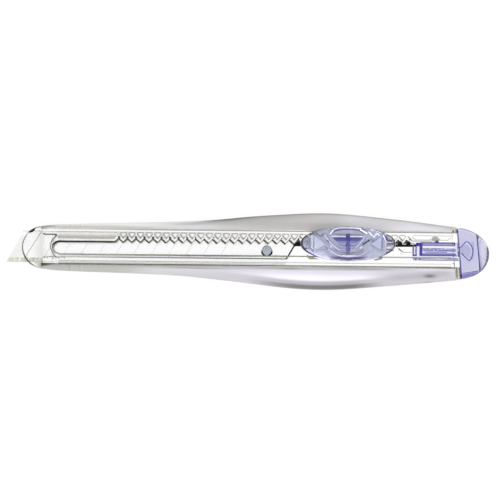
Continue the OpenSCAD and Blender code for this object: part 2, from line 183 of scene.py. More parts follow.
def clear_plastic(name, ior=1.5):
    """Glass-clear plastic with the faintest waves in its surface."""
    mat = material(name, (1, 1, 1), Roughness=0.03, IOR=ior, Transmission_Weight=1.0)
    bump(mat, noise(mat, 180, 2), 0.04, 0.0002)
    return mat


def nose_plastic():
    """The clear plastic of the bare nose, painted a little grey towards the window: painted shade where the
    window's wall darkens the view through it.
    """
    mat = clear_plastic("clear_styrene_nose")
    coloured_along_x(mat, NOSE_X, WINDOW_X, [(0.0, 1.0), (0.5, 1.0), (0.67, srgb(247, 248, 246)),
                                             (0.87, srgb(235, 236, 232)), (1.0, srgb(232, 232, 228))])
    return mat


def violet_plastic(name, colour, density, own_tone=True):
    """Clear plastic that is a deeper violet where it is thicker."""
    mat = clear_plastic(name)
    if own_tone:
        toned(mat)
    absorb(mat, colour, density)
    return mat


def frosted(name, colour, transmission, roughness):
    """The matt grip: a fine moulded grain over a milky, half-clear plastic."""
    mat = material(name, colour, Roughness=roughness, IOR=1.45, Transmission_Weight=transmission,
                   Specular_IOR_Level=0.35)
    bump(mat, noise(mat, 5200, 3), 0.2, 0.0001)
    return mat


def milky_plastic():
    """The wings of the grip, which take their tone from the mesh: painted light and shade."""
    mat = frosted("frosted_grip", srgb(200, 199, 200), 0.12, 0.45)
    toned(mat, 260, 0.97, 6, (0.25, 1, 1))
    return mat


def two_tone(name, low, high, metallic=0.0, roughness=0.3, scale=900, stretch=(1, 1, 1), **sockets):
    """An opaque finish that varies a little between two screen colours."""
    mat = material(name, srgb(*low), Metallic=metallic, Roughness=roughness, **sockets)
    mottled(mat, scale, srgb(*low), srgb(*high), stretch=stretch)
    return mat


def drawn_lines_and_painted_light():
    """Painted dark edges, shade, highlights and reflections that the clear plastic's edges show, drawn as
    dark, pale and violet lines in the tones of their meshes.
    """
    mat = material("drawn_lines_and_painted_light", (1, 1, 1), Metallic=0.9, Roughness=0.3, Specular_IOR_Level=0.1)
    toned(mat, 900, 0.93)
    return mat


def blade_steel():
    """Brushed steel, painted a little darker where it is bare than under the deck, where it shows brighter:
    painted light and shade.
    """
    mat = material("blade_steel", (0.97, 0.97, 0.965), Metallic=1.0, Roughness=0.2)
    bare, covered = srgb(238, 240, 235), srgb(252, 252, 252)
    coloured_along_x(mat, BLADE_LOW.x, WINDOW_X,
                     [(0.0, bare), (0.42, srgb(243, 244, 240)), (0.47, covered), (1.0, covered)])
    mottled(mat, 700, 0.14, 0.22, "Roughness", (0.3, 1, 1))
    bump(mat, noise(mat, 4000, 3, (1, 0.1, 1)), 0.04, 0.00002)
    return mat


def honed_steel():
    """The ground bevel under the deck."""
    mat = material("honed_steel", (0.98, 0.98, 0.98), Metallic=1.0, Roughness=0.2)
    mottled(mat, 1300, 0.97, 1.0)
    return mat


CLEAR, NOSE = clear_plastic("clear_styrene"), nose_plastic()
CLEAR_CARRIER = clear_plastic("clear_carrier_plastic", 1.12)
CLEAR_BASE = clear_plastic("clear_base_plastic", 1.12)
# opaque paints on the clear plastic's edges and walls: painted shade, dark, pale and olive, standing for how
# those edges look
EDGE = two_tone("painted_dark_edge", (20, 22, 16), (48, 50, 38), Specular_IOR_Level=0.1)
EDGE_PALE = two_tone("painted_pale_edge", (244, 243, 238), (252, 251, 246))
EDGE_OLIVE = two_tone("painted_olive_edge", (162, 163, 154), (184, 185, 176))
COLLAR = two_tone("clear_collar_beige", (190, 183, 170), (214, 208, 196))
VIOLET = violet_plastic("violet_translucent", (0.34, 0.37, 0.68), 165, own_tone=False)
VIOLET_CAP = violet_plastic("violet_cap_plastic", (0.34, 0.3, 0.76), 85)
VIOLET_LATCH = violet_plastic("violet_latch_plastic", (0.3, 0.3, 0.75), 200)
FROST = milky_plastic()
FROST_CLEAR = frosted("frosted_grip_back", (1, 1, 1), 1.0, 0.05)
LINE = drawn_lines_and_painted_light()
STEEL, HONED = blade_steel(), honed_steel()
GROUND = two_tone("ground_steel", (186, 188, 166), (248, 249, 242), 0.9, 0.35, 1500, (1, 0.45, 1))
SCORE = two_tone("score_line", (238, 239, 241), (248, 248, 249), 0.9, 0.4, 1500)
SCORE_DARK = two_tone("score_line_shaded", (150, 152, 146), (186, 188, 182), 0.2, 0.5, 1500)
BLADE_WALL = two_tone("blade_wall", (138, 141, 144), (164, 167, 170), 0.5, 0.4)
PIN_STEEL = two_tone("pin_steel", (180, 184, 197), (200, 204, 216), 0.2, 0.35, 1200)
PIN_RIM_SHADE = two_tone("pin_rim_shaded", (104, 108, 116), (140, 144, 152), 0.4, 0.35, 1200)
SPRING = two_tone("spring_steel", (6, 6, 7), (16, 16, 18), 0.3, 0.4, 1400, (0.2, 1, 1),
                  Specular_IOR_Level=0.2)


# ---- mesh helpers ----
def add_object(bm, name, scale=MM):
    """Turns a bmesh into a plain object, from millimetres to metres."""
    bmesh.ops.scale(bm, vec=(scale, scale, scale), verts=bm.verts)
    me = bpy.data.meshes.new(name)
    bm.to_mesh(me)
    bm.free()
    ob = bpy.data.objects.new(name, me)
    bpy.context.scene.collection.objects.link(ob)
    return ob


def mesh_object(bm, name, body, materials, replaces=(), sharp=9):
    """Turns a bmesh into a finished piece: smooth, with sharp edges past an angle, riding on its body."""
    bmesh.ops.recalc_face_normals(bm, faces=bm.faces)
    for face in bm.faces:
        face.smooth = True
    for edge in bm.edges:
        if len(edge.link_faces) == 2:
            edge.smooth = edge.calc_face_angle(0) < radians(sharp)
    ob = add_object(bm, name)
    for mat in materials:
        ob.data.materials.append(mat)
    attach(ob, body)
    if replaces:
        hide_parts(*replaces)
    return ob


def carried(node_name):
    """A CAD node's mesh as a bmesh in millimetres, with its flat faces joined up."""
    bm = bmesh.new()
    bm.from_mesh(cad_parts[node_name].data)
    bmesh.ops.scale(bm, vec=(1 / MM,) * 3, verts=bm.verts)
    bmesh.ops.remove_doubles(bm, verts=bm.verts, dist=0.0005)
    bmesh.ops.dissolve_limit(bm, angle_limit=radians(0.8), verts=bm.verts, edges=bm.edges)
    return bm


def cut_at_window(bm):
    """Cuts the faces where the bare nose ends, so that their material can change there."""
    geom = bm.verts[:] + bm.edges[:] + bm.faces[:]
    bmesh.ops.bisect_plane(bm, geom=geom, plane_co=(WINDOW_X, 0, 0), plane_no=(1, 0, 0))


def bevel(bm, width, segments=2, angle=30, keep=lambda edge: True):
    """Rounds the edges that are sharper than an angle and that a test keeps."""
    edges = [e for e in bm.edges if len(e.link_faces) == 2 and keep(e)
             and e.calc_face_angle(0) > radians(angle)]
    bmesh.ops.bevel(bm, geom=edges, offset=width, segments=segments, profile=0.6, affect="EDGES",
                    clamp_overlap=True, material=-1)


def paint(bm, index, chosen):
    """Gives the faces that a test picks another of the piece's materials."""
    bm.normal_update()
    for face in bm.faces:
        if chosen(face.calc_center_median(), face.normal):
            face.material_index = index


def band(bm, a, b, index_of=lambda i: 0):
    """Faces between two closed rows of points."""
    for i in range(len(a)):
        k = (i + 1) % len(a)
        bm.faces.new((a[i], a[k], b[k], b[i])).material_index = index_of(i)


def skin(bm, rings, index_of=lambda row, i: 0):
    """A closed skin through rings of points that all have the same length."""
    rows = [[bm.verts.new(p) for p in ring] for ring in rings]
    for row, (a, b) in enumerate(zip(rows, rows[1:])):
        band(bm, a, b, lambda i: index_of(row, i))
    bm.faces.new(rows[0][::-1])
    bm.faces.new(rows[-1])
    return rows


def split_big_faces(bm):
    """Cuts the faces with many corners into triangles."""
    bmesh.ops.triangulate(bm, faces=[f for f in bm.faces if len(f.verts) > 4])


def trace(bm, points, width, low, high, closed=False):
    """A strip along a line of points, with one width or a list of widths. It goes from one height to another,
    each a number or a function of the place."""
    pts = [Vector(p) for p in points]
    n = len(pts)
    widths = width if isinstance(width, (list, tuple)) else [width] * n
    rows = []
    for i, p in enumerate(pts):
        a = pts[i - 1] if i or closed else 2 * p - pts[1]
        b = pts[(i + 1) % n] if i < n - 1 or closed else 2 * p - pts[-2]
        first, second = (p - a).normalized(), (b - p).normalized()
        side_way = Vector((-first.y - second.y, first.x + second.x)).normalized()
        half = widths[i] / 2 / max(0.45, side_way.dot(Vector((-first.y, first.x))))
        left, right = p + side_way * half, p - side_way * half
        rows.append([bm.verts.new((q.x, q.y, h(q.x, q.y) if callable(h) else h))
                     for q, h in ((left, low), (right, low), (right, high), (left, high))])
    for a, b in zip(rows, rows[1:] + rows[:1] if closed else rows[1:]):
        band(bm, a, b)
    if not closed:
        bm.faces.new(rows[0][::-1])
        bm.faces.new(rows[-1])
    return rows


def plate(bm, outline, low, high):
    """A flat piece with a given outline. Returns its points in pairs, the lower one first."""
    return list(zip(*skin(bm, [[(x, y, z) for x, y in outline] for z in (low, high)])))


def smooth_line(points, steps=6):
    """A smooth line through points."""
    pts = [Vector(p) for p in points]
    pts = [2 * pts[0] - pts[1]] + pts + [2 * pts[-1] - pts[-2]]
    line = []
    for a, b, c, d in zip(pts, pts[1:], pts[2:], pts[3:]):
        for i in range(steps):
            t = i / steps
            line.append(0.5 * (2 * b + (c - a) * t + (2 * a - 5 * b + 4 * c - d) * t ** 2
                               + (3 * b - a - 3 * c + d) * t ** 3))
    return line + [pts[-2]]


def dense(points, step=0.5):
    """A line of points with more points on its straight stretches."""
    line = []
    for a, b in zip(points, points[1:]):
        a, b = Vector(a), Vector(b)
        count = max(1, round((b - a).length / step))
        line += [a.lerp(b, i / count) for i in range(count)]
    return line + [Vector(points[-1])]


def between(stops, spacing):
    """Even steps from stop to stop, each (angle, width, tone), without the last stop itself."""
    for (a0, w0, t0), (a1, w1, t1) in zip(stops, stops[1:]):
        count = spacing(a1 - a0)
        for i in range(count):
            s = i / count
            yield radians(a0 + (a1 - a0) * s), w0 + (w1 - w0) * s, mix_tones(t0, t1, s)


def mix_tones(a, b, share):
    """A tone between two, each a grey or a colour."""
    if hasattr(a, "__len__"):
        return tuple(p + (q - p) * share for p, q in zip(a, b))
    return a + (b - a) * share


def rgb(tone):
    """A tone as a linear colour: one number is a grey with the olive cast of the clear plastic's edges."""
    values = tone if hasattr(tone, "__len__") else (tone, tone, tone - 0.09 * (255 - tone))
    return (*srgb(*(max(0.0, v) for v in values)), 1)


def deck(points):
    """Points given as x and distance from the slot's axis, in the row frame."""
    return [(x, AXIS + v) for x, v in points]


class Lines:
    """Fine lines and patches, each point with its own tone, set in or under clear plastic: mostly painted dark
    edges, shade, highlights and reflections.
    """

    def __init__(self, place=deck):
        """Takes a function that turns points as they are given into points of the row frame."""
        self.bm = bmesh.new()
        self.tone = self.bm.verts.layers.float_color.new("tone")
        self.place = place

    def tint(self, rows, tones):
        """Gives each row of points its tone: one for all, or a list."""
        for i, row in enumerate(rows):
            for v in row:
                v[self.tone] = rgb(tones[i] if isinstance(tones, list) else tones)

    def line(self, points, width, top, tone, thick=0.08, closed=False):
        """A strip whose upper face lies at a height: a number, or a function of the place."""
        low = (lambda x, y: top(x, y) - thick) if callable(top) else top - thick
        self.tint(trace(self.bm, self.place(points), width, low, top, closed), tone)

    def patch(self, outline, top, tone, thick=0.08):
        """A flat patch. A list of tones goes round its outline."""
        self.tint(plate(self.bm, self.place(outline), top - thick, top), tone)

    def finish(self, name, body):
        return mesh_object(self.bm, name, body, [LINE])


def bar(x0, x1, v0, v1, inset=0.0):
    """The four corners of a bar, whose far side can be shorter by an inset at each end."""
    return [(x0, v0), (x1, v0), (x1 - inset, v1), (x0 + inset, v1)]


def circle(radius, count, x=0.0, y=0.0):
    """Points evenly round a circle."""
    return [(x + radius * cos(2 * pi * i / count), y + radius * sin(2 * pi * i / count))
            for i in range(count)]


def colour_points(ob, tone_at):
    """Stores a tone for each point of a mesh, from a function of its place in millimetres."""
    layer = ob.data.attributes.new("tone", "FLOAT_COLOR", "POINT")
    for item, vertex in zip(layer.data, ob.data.vertices):
        item.color = rgb(tone_at(*(vertex.co / MM)))


def swell(v, at, width):
    """A smooth bump of height 1."""
    return exp(-((v - at) / width) ** 2)


def step_up(v, low, high):
    """Goes smoothly from 0 to 1 between two places."""
    t = min(1.0, max(0.0, (v - low) / (high - low)))
    return t * t * (3 - 2 * t)


def step_down(v, low, high):
    """Goes smoothly from 1 to 0 between two places."""
    return 1 - step_up(v, low, high)


# ---- the sheath ----
NOSE_CROWN_R = 14
TOOTH_REFLECTION_GREY, RIB_LILAC, RIB_OLIVE = (176, 171, 168), (186, 181, 190), (202, 201, 178)


def nose_top(x):
    """Height of the nose's crowned top."""
    return DECK_TOP - NOSE_CROWN_R + sqrt(NOSE_CROWN_R ** 2 - max(0.0, GRIP_X - x) ** 2)


def make_sheath():
    """The clear body. The slot's lower wall leans out a little at its top, as moulded walls do."""
    bm = carried("sheath")
    for v in bm.verts:
        on_wall = abs(v.co.y - AXIS - SLOT_DOWN) < 0.1 and SLOT_X + SLOT_R - 0.01 < v.co.x < SEAM_X - 0.6
        if on_wall and abs(v.co.z - DECK_TOP) < 0.02:
            v.co.y -= 0.12
    cut_at_window(bm)
    bevel(bm, 0.06, 2, 28)

    def in_slot(c, n):
        return (abs(n.z) < 0.97 and DECK_TOP - 0.1 < c.z < DECK_TOP - 0.005
                and SLOT_X - 0.1 < c.x < SEAM_X - 0.7)

    def on_teeth(c, n):
        return in_slot(c, n) and n.y < 0.2 and 0.6 < c.y - AXIS < 3.2 and c.x < LATCH_LOW.x

    def on_slot_end(c, n):
        return in_slot(c, n) and c.x < SLOT_X + SLOT_R and abs(c.y - AXIS - SLOT_MID) < 2.3

    def on_lower_wall(c, n):
        low = SLOT_DOWN - 0.4 < c.y - AXIS < SLOT_DOWN + 0.5
        return in_slot(c, n) and low and n.y > 0.3 and c.x > SLOT_X + SLOT_R

    def on_nose(c, n):
        return c.x < WINDOW_X + 0.03 and n.z > 0.45 and c.z > DECK_TOP / 2

    def on_collar(c, n):
        at_seam = c.x > SEAM_X - 3 and c.x + (c.y - AXIS) * SEAM_SLOPE > SEAM_X - 1.45
        return at_seam and abs(c.y - AXIS) > DECK_HALF + 0.1

    # painted shade: dark on the top edges of the teeth and the slot's end, olive on the lower wall's, grey on
    # the nose
    mats = [CLEAR, EDGE, EDGE_OLIVE, NOSE, COLLAR]
    for mat, chosen in ((EDGE, on_teeth), (EDGE, on_slot_end), (EDGE_OLIVE, on_lower_wall), (NOSE, on_nose),
                        (COLLAR, on_collar)):
        paint(bm, mats.index(mat), chosen)
    return mesh_object(bm, "clear_sheath", "handle", mats, ["sheath"])


def draw_tooth(lines, i):
    """One tooth of the rack: painted dark lines on its flanks and tip, and the stub of the rib behind it."""
    x, late = RACK_X + i * PITCH, step_up(i, 1, 9)
    mid = x + PITCH / 2
    if i >= TOOTH_COUNT - 3:
        lines.line([(x - 0.64, 1.8), (x - 0.03, 2.36), (x + 0.6, 1.8)], 0.36, IN_DECK + 0.02, 10)
    else:
        if i > 0:
            lines.line([(x - PITCH / 2 + 0.06, TOOTH_TIP + 0.12), (x - 0.05, TOOTH_ROOT + 0.06)],
                       0.4 - 0.24 * late, IN_DECK, 92 + 50 * late)
        lines.line([(x - 0.14, TOOTH_ROOT + 0.2), (mid + 0.08, TOOTH_TIP + 0.06)], 0.4 + 0.06 * late,
                   IN_DECK + 0.02, [(62, 68, 44), (78, 84, 58)])
        lines.patch([(mid - 0.24, 1.38), (mid, TOOTH_TIP - 0.02), (mid + 0.24, 1.38), (mid, 1.6)],
                    IN_DECK + 0.04, (50 + 26 * late, 54 + 26 * late, 36 + 20 * late))
    stub = 0.5 * step_down(i, 7, 11)
    if stub:
        lines.patch(bar(x - stub / 2, x + stub / 2, 2.3, 2.8), IN_DECK,
                    [(104, 124, 80)] * 2 + [(44, 50, 38)] * 2)
        lines.patch(bar(x - stub * 0.7, x + stub * 0.7, 2.78, 3.02, stub * 0.2), IN_DECK + 0.02, (34, 38, 30))
    else:
        lines.patch(bar(x + 0.06, x + 0.42, 2.72, 3.06, 0.06), IN_DECK, (54, 56, 50))


def draw_valley(lines, i):
    """The painted reflection of the teeth, under the valley behind a tooth: two flanks that meet below its
    middle, and a crown.
    """
    late = step_up(i, 1, 9)
    shift = 0.22 * late - 0.75 * step_up(i, TOOTH_COUNT - 5, TOOTH_COUNT - 2)
    x = RACK_X + i * PITCH + shift
    mid = x + PITCH / 2 + 0.08 * late - 0.06
    lines.line([(x + 0.36, 3.78), (x + 0.42, 3.45), (mid + 0.1, 2.5)], 0.34 + 0.06 * late, UNDER_DECK,
               [(196, 192, 192), TOOTH_REFLECTION_GREY, TOOTH_REFLECTION_GREY])
    lines.line([(mid - 0.1, 2.5), (x + PITCH - 0.42, 3.45), (x + PITCH - 0.36, 3.78)], 0.32 - 0.1 * late,
               UNDER_DECK, [TOOTH_REFLECTION_GREY, (182 + 12 * late,) * 3, (200, 196, 196)])
    crown = [(0.2, 3.72), (0.42, 3.95), (0.8, 4.08), (1.64, 4.08), (2.02, 3.95), (2.24, 3.72)]
    lines.line([(x + u, v) for u, v in crown], 0.22, UNDER_DECK + 0.01, (188, 186, 178))


def draw_rack_front(lines):
    """The painted shade of the hollow, and the long rib in front of the first tooth, with three ticks on the
    rib.
    """
    start, front, end = SLOT_X + 1.4, RACK_X - 1.0, RACK_X - 1.6
    lines.line([(start - 0.5, 4.1), (front, 4.1), (front + 0.5, 3.9), (front + 0.75, 3.6)], 0.2,
               UNDER_DECK + 0.01, (206, 204, 196))
    bands = [(2.3, 196), (2.55, 188), (2.9, 196), (3.2, 222), (3.5, 236), (3.85, 250), (4.0, 255)]
    for (v0, t0), (v1, t1) in zip(bands, bands[1:]):
        near, far = v0 - bands[0][0], v1 - bands[0][0]
        lines.patch([(start + near * 0.3, v0), (end + near, v0), (end + far, v1), (start + far * 0.3, v1)],
                    UNDER_DECK, [(t, t - 1, t - 0.12 * (255 - t) - 3) for t in (t0, t0, t1, t1)])
    lines.line([(SLOT_X + SLOT_R + 0.55, 1.4), (front - 0.35, 1.4), (front, 1.44), (front + 0.86, 2.3)],
               [0.5, 0.5, 0.46, 0.4], IN_DECK, [(50, 54, 40), (62, 66, 50), (70, 76, 54), (84, 92, 62)])
    for i in range(3):
        x = SLOT_X + 6.7 + i * 5.07
        lines.patch([(x - 0.5, 1.18), (x - 0.15, 1.18), (x + 0.5, 1.62), (x + 0.15, 1.62)], IN_DECK + 0.03,
                    (14, 15, 12))


def draw_rack_rear(lines):
    """The ribs between the last tooth and the rear collar."""
    x, rear = RACK_X + (TOOTH_COUNT - 1) * PITCH, SEAM_X - 8.0
    lines.line([(x - 0.25, 3.8), (x + 0.4, 3.2), (x + 1.1, 2.45)], 0.42, UNDER_DECK, RIB_LILAC)
    lines.line([(x + 1.3, 2.5), (rear + 0.4, 2.5)], 0.3, UNDER_DECK, (192, 187, 194))
    lines.line([(x + 1.0, 3.7), (x + 2.0, 2.85), (rear, 2.85), (rear + 0.6, 3.3)], 0.22, UNDER_DECK + 0.02,
               RIB_OLIVE)
    blot = [(0.2, 3.0), (0.8, 3.9), (1.9, 3.9), (2.8, 2.9), (2.3, 2.5), (0.6, 2.5)]
    lines.patch([(rear + u, v) for u, v in blot], UNDER_DECK, RIB_LILAC)
    lines.line([(rear + 2.1, 3.5), (rear + 2.9, 2.8), (rear + 5.0, 2.8), (rear + 5.9, 3.6)], 0.2,
               UNDER_DECK + 0.02, RIB_OLIVE)
    lines.line([(x + 1.2, 4.05), (rear + 6.1, 4.05)], 0.18, UNDER_DECK + 0.01, (212, 210, 190))


def make_rack_lines_and_reflections():
    """Lines seen through the clear deck: the teeth's painted dark edges, their painted reflections behind
    them, and the ribs behind the rack.
    """
    lines = Lines()
    for i in range(TOOTH_COUNT):
        draw_tooth(lines, i)
        if i < TOOTH_COUNT - 1:
            draw_valley(lines, i)
    draw_rack_front(lines)
    draw_rack_rear(lines)
    return lines.finish("rack_lines_and_reflections", "handle")


# angle round the nose, width and tone of its painted dark outline, where its rounded edge looks dark
NOSE_ARC = [
    (92, 0.2, 180), (108, 0.26, 126), (114, 0.4, 50), (118, 0.7, 6), (124, 0.76, 6), (129, 0.6, 12),
    (132, 0.36, 70), (136, 0.26, 205), (142, 0.26, 205), (147, 0.3, 140), (160, 0.3, 132), (175, 0.3, 124),
    (190, 0.33, 112), (203, 0.38, 84), (214, 0.42, 58), (225, 0.38, 64), (234, 0.36, 96), (243, 0.32, 138),
    (255, 0.28, 170), (268, 0.26, 186),
]
# distance from the axis, width, height and stops of (x, tone) of the painted edge lines, where the slot's and
# deck's edges look dark, that run the deck's length
DECK_LINES = [
    (-2.22, 0.32, IN_DECK, [(-56, 158), (-34, 152), (-20, 118), (-8, 118), (15, 138), (40, 160), (60, 150)]),
    (-4.05, 0.2, UNDER_DECK, [(-56, 205), (-30, 196), (0, 204), (15, 190), (40, 214), (60, 226)]),
    (-4.86, 0.26, DECK_TOP - 0.3, [(-56, 112), (-34, 118), (-20, 112), (-5, 132), (15, 142), (34, 168),
                                   (46, 172), (60, 130)]),
    (4.9, 0.24, DECK_TOP - 0.3, [(-56, 235), (-42, 214), (-30, 172), (60, 160)]),
]


def draw_nose_edge(lines):
    """The painted dark line that the nose's rounded edge shows."""
    points, widths, tones = [], [], []
    for a, w, tone in between(NOSE_ARC, lambda turn: 3):
        r = 5.93 - w / 2
        points.append((NOSE_X + 6 + r * cos(a), -0.35 + r * sin(a)))
        widths.append(w)
        tones.append(tone)
    lines.line(points, widths, lambda x, y: min(nose_top(x) - 0.1, DECK_TOP - 0.5), tones, 0.3)


def draw_window(lines):
    """The painted dark edge of the front window, and the small dashes in the clear beside it."""
    window = [(0.08, 3.62), (0.6, 3.36), (3.2, 3.36), (3.85, 3.1), (3.1, 2.2), (2.5, 1.3), (2.2, -0.1),
              (2.55, -1.2), (3.2, -2.6), (4.0, -3.08)]
    edge = smooth_line([(WINDOW_X + u, v) for u, v in window], 4)
    tones = [62] * 9 + [74] * 6 + [96] * 6 + [136] * 16
    lines.line(edge, [0.3] * 9 + [0.36] * 6 + [0.26] * 22, IN_DECK, tones)
    dashes = [(0.3, -3.2, 0.5), (1.2, -3.3, 0.35), (2.0, -3.05, 0.4), (2.8, -3.3, 0.4), (3.7, -3.15, 0.45),
              (4.5, -3.3, 0.4), (5.4, -3.1, 0.35), (6.1, -3.2, 0.4)]
    for u, v, w in dashes:
        x0, x1 = WINDOW_X + u - w / 2, WINDOW_X + u + w / 2
        lines.patch([(x0, v - 0.1), (x1, v - 0.14), (x1, v + 0.1), (x0, v + 0.12)], UNDER_DECK,
                    (150, 152, 128))


def draw_slot_end(lines):
    """The painted dark rim round the slot's front end."""
    rim = []
    for i in range(19):
        a = radians(88 + 10.2 * i)
        long = SLOT_R + 0.02 + 0.6 * step_up(sin(a), -0.4, 0.6)
        rim.append((SLOT_X + long + long * cos(a), SLOT_MID + (SLOT_R + 0.02) * sin(a)))
    lines.line(rim, [0.5 - 0.26 * step_up(i, 5, 10) for i in range(19)], IN_DECK,
               [56 + 70 * step_up(i, 6, 12) for i in range(19)])


def tones_along(stops, places):
    """Tones for places along x, between stops of (x, tone)."""
    tones = []
    for x in places:
        a, b = next(((p, q) for p, q in zip(stops, stops[1:]) if x <= q[0]), stops[-2:])
        tones.append(mix_tones(a[1], b[1], min(1, max(0, (x - a[0]) / (b[0] - a[0])))))
    return tones


def make_sheath_lines():
    """Painted dark lines along the edges of the nose, window, slot and deck, and the seam that shows beside
    the grip.
    """
    lines = Lines()
    draw_nose_edge(lines)
    draw_window(lines)
    draw_slot_end(lines)
    run = [x for x in (SLOT_X + SLOT_R + i * 2.5 for i in range(47)) if x < SEAM_X - 1.6]
    for v, width, top, stops in DECK_LINES:
        lines.line([(x, v) for x in run], width, top, tones_along(stops, run))
    # painted shade: two patches on the deck's lower side beside the nose
    lines.patch([(GRIP_X + 0.2, -4.8), (GRIP_X + 4.6, -4.86), (GRIP_X + 2.0, -5.5), (GRIP_X + 0.2, -5.75)],
                6.4, [(70, 70, 56), (140, 140, 124), (110, 110, 96), (96, 96, 80)])
    lines.patch([(NOSE_X + 3.5, -4.7), (WINDOW_X - 0.1, -4.7), (WINDOW_X - 0.1, -5.9), (NOSE_X + 4.6, -5.75)],
                5.4, [(236, 237, 233), (214, 215, 210), (206, 207, 202), (226, 227, 222)])
    for v0, v1 in ((4.95, 6.25), (-8.2, -4.95)):
        for dx, tone in ((-0.98, (120, 116, 112)), (-0.12, (96, 92, 112))):
            edge = [(SEAM_X + dx - v * SEAM_SLOPE, v) for v in (v0 + (v1 - v0) * i / 8 for i in range(9))]
            lines.line(edge, 0.24, lambda x, y: cap_surface(SEAM_X - 1, y) + 0.04, tone, 0.16)
    return lines.finish("sheath_lines", "handle")


# ---- the comfort grip ----
WAIST_X, PALM_X = NOSE_X + 45, NOSE_X + 86


def side(front, waist, palm, rear):
    """Knots of one side of the grip's outline, as distances from the axis."""
    return [(GRIP_X, front), (GRIP_X + 5, front + 0.3 * (waist - front)), (WAIST_X, waist),
            ((WAIST_X + PALM_X) / 2, waist + 0.66 * (palm - waist)), (PALM_X, palm),
            ((PALM_X + SEAM_X) / 2, rear + 0.62 * (palm - rear)), (SEAM_X + 2, rear)]


UP_SIDE = side(5.75, 7.5, 10.25, 6.35)
DOWN_SIDE = side(6.5, 8.2, 11.8, 8.35)
RISE = [(GRIP_X, 3.6), (PALM_X, 3.9), (SEAM_X + 2, 3.6)]
MID_Z = 3.2                                         # height of the widest part of the grip and the cap
TICKS = [(NOSE_X + 10.9, 1), (NOSE_X + 14, 1), (NOSE_X + 16.9, 1), (NOSE_X + 14, -1), (NOSE_X + 16.9, -1)]
GATE = Vector((SEAM_X - 8.09, -7.5))                # x and v of the small mark where the plastic went in
LIP_STEPS = [(0.06, -0.22), (0.0, -0.45)]
OUTER_STEPS = 104


def curve(knots, x):
    """A smooth curve through knots (x, y), as in the frame's own outline."""
    i = max(j for j in range(len(knots) - 1) if x >= knots[j][0] or j == 0)

    def slope(j):
        a, b = knots[max(j - 1, 0)], knots[min(j + 1, len(knots) - 1)]
        return (b[1] - a[1]) / (b[0] - a[0])

    width = knots[i + 1][0] - knots[i][0]
    t = (x - knots[i][0]) / width
    return (knots[i][1] * (2 * t ** 3 - 3 * t ** 2 + 1) + knots[i + 1][1] * (3 * t ** 2 - 2 * t ** 3)
            + slope(i) * width * (t ** 3 - 2 * t ** 2 + t) + slope(i + 1) * width * (t ** 3 - t ** 2))


def power(v, p):
    return copysign(abs(v) ** p, v)


def rounded(angle):
    """A point on a rounded oblong of size 1: 0 degrees is its upper side, 90 its top."""
    return power(cos(angle), 0.8), power(sin(angle), 0.8)


def reach(x, up):
    """How far the grip reaches from the axis."""
    hollow = 0.38 * swell(x, -7, 10) + 0.2 * swell(x, 10, 9) if up else 0.4 * swell(x, -2, 10)
    return curve(UP_SIDE if up else DOWN_SIDE, x) - hollow


def outer_point(x, angle):
    """The y and z of a point on the grip's rounded oblong section."""
    c, s = rounded(angle)
    return AXIS + reach(x, c > 0) * c, MID_Z + curve(RISE, x) * s


def wing_angle(x, up, inner):
    """The angle at which the section comes in to a distance from the axis, on one side of the top."""
    a = acos(min(1, inner / reach(x, up)) ** 1.25)
    return a if up else pi - a


def grip_ring(x):
    """One section of the grip: an open C from its lower lip round the back to its upper one."""
    start, end = wing_angle(x, False, DECK_HALF + 0.42), wing_angle(x, True, DECK_HALF + 0.42) + 2 * pi
    ring = []
    for i in range(OUTER_STEPS + 1):
        y, z = outer_point(x, start + (end - start) * i / OUTER_STEPS)
        for at, way in TICKS:
            if (way > 0) == (y > AXIS) and z > MID_Z:
                z -= 0.12 * swell(x, at, 0.22) * step_up(abs(y - AXIS), 5.0, 5.3)
        ring.append((x, y, max(z, 0.0)))
    gap = 0.03
    for way, top in ((1, ring[-1][2]), (-1, ring[0][2])):
        wall = [(DECK_HALF + out, top + drop) for out, drop in LIP_STEPS]
        inside = SHEATH_HALF + gap
        wall += [(DECK_HALF, SHOULDER + gap), (inside, SHOULDER + gap), (inside, BACK_T - gap)]
        ring += [(x, AXIS + way * out, z) for out, z in wall[::way]]
    return ring


def upper_value(x, out, rim):
    """How light the upper wing is, at a distance out from the deck and in from its rim: painted light and
    shade.
    """
    front = step_down(x, -34, -10)
    value = 192 + 36 * step_up(x, 26, 54) + 28 * swell(x, -13, 12) * step_down(out, 0.3, 3.0)
    value += 37 * front + 12 * front * step_up(out, 0.9, 1.4)
    value -= 24 * step_down(x, -34, -20) * swell(out, 0.75, 0.28)
    value -= 44 * step_up(x, -16, -7) * swell(rim, 0.05, 0.34) + 34 * swell(x, -5, 7) * swell(rim, 0.3, 0.4)
    value -= 10 * step_up(x, -14, -4) * step_down(x, 24, 30)
    value -= 18 * step_up(x, 46, 52) * swell(rim, 0.6, 0.6)
    value -= 62 * step_down(x, -59.0, -54.0) * swell(rim, 0.3, 0.7)
    value += 20 * swell(x, -17, 6) * (swell(rim, 0.15, 0.4) - swell(rim, 0.8, 0.4)) + 18 * swell(x, 30, 8)
    value += 13 * swell(x, 20, 10) * step_up(out, 2.0, 3.2)
    value += 13 * step_up(x, 50, 54) * step_down(out, 0.3, 0.9)
    return value


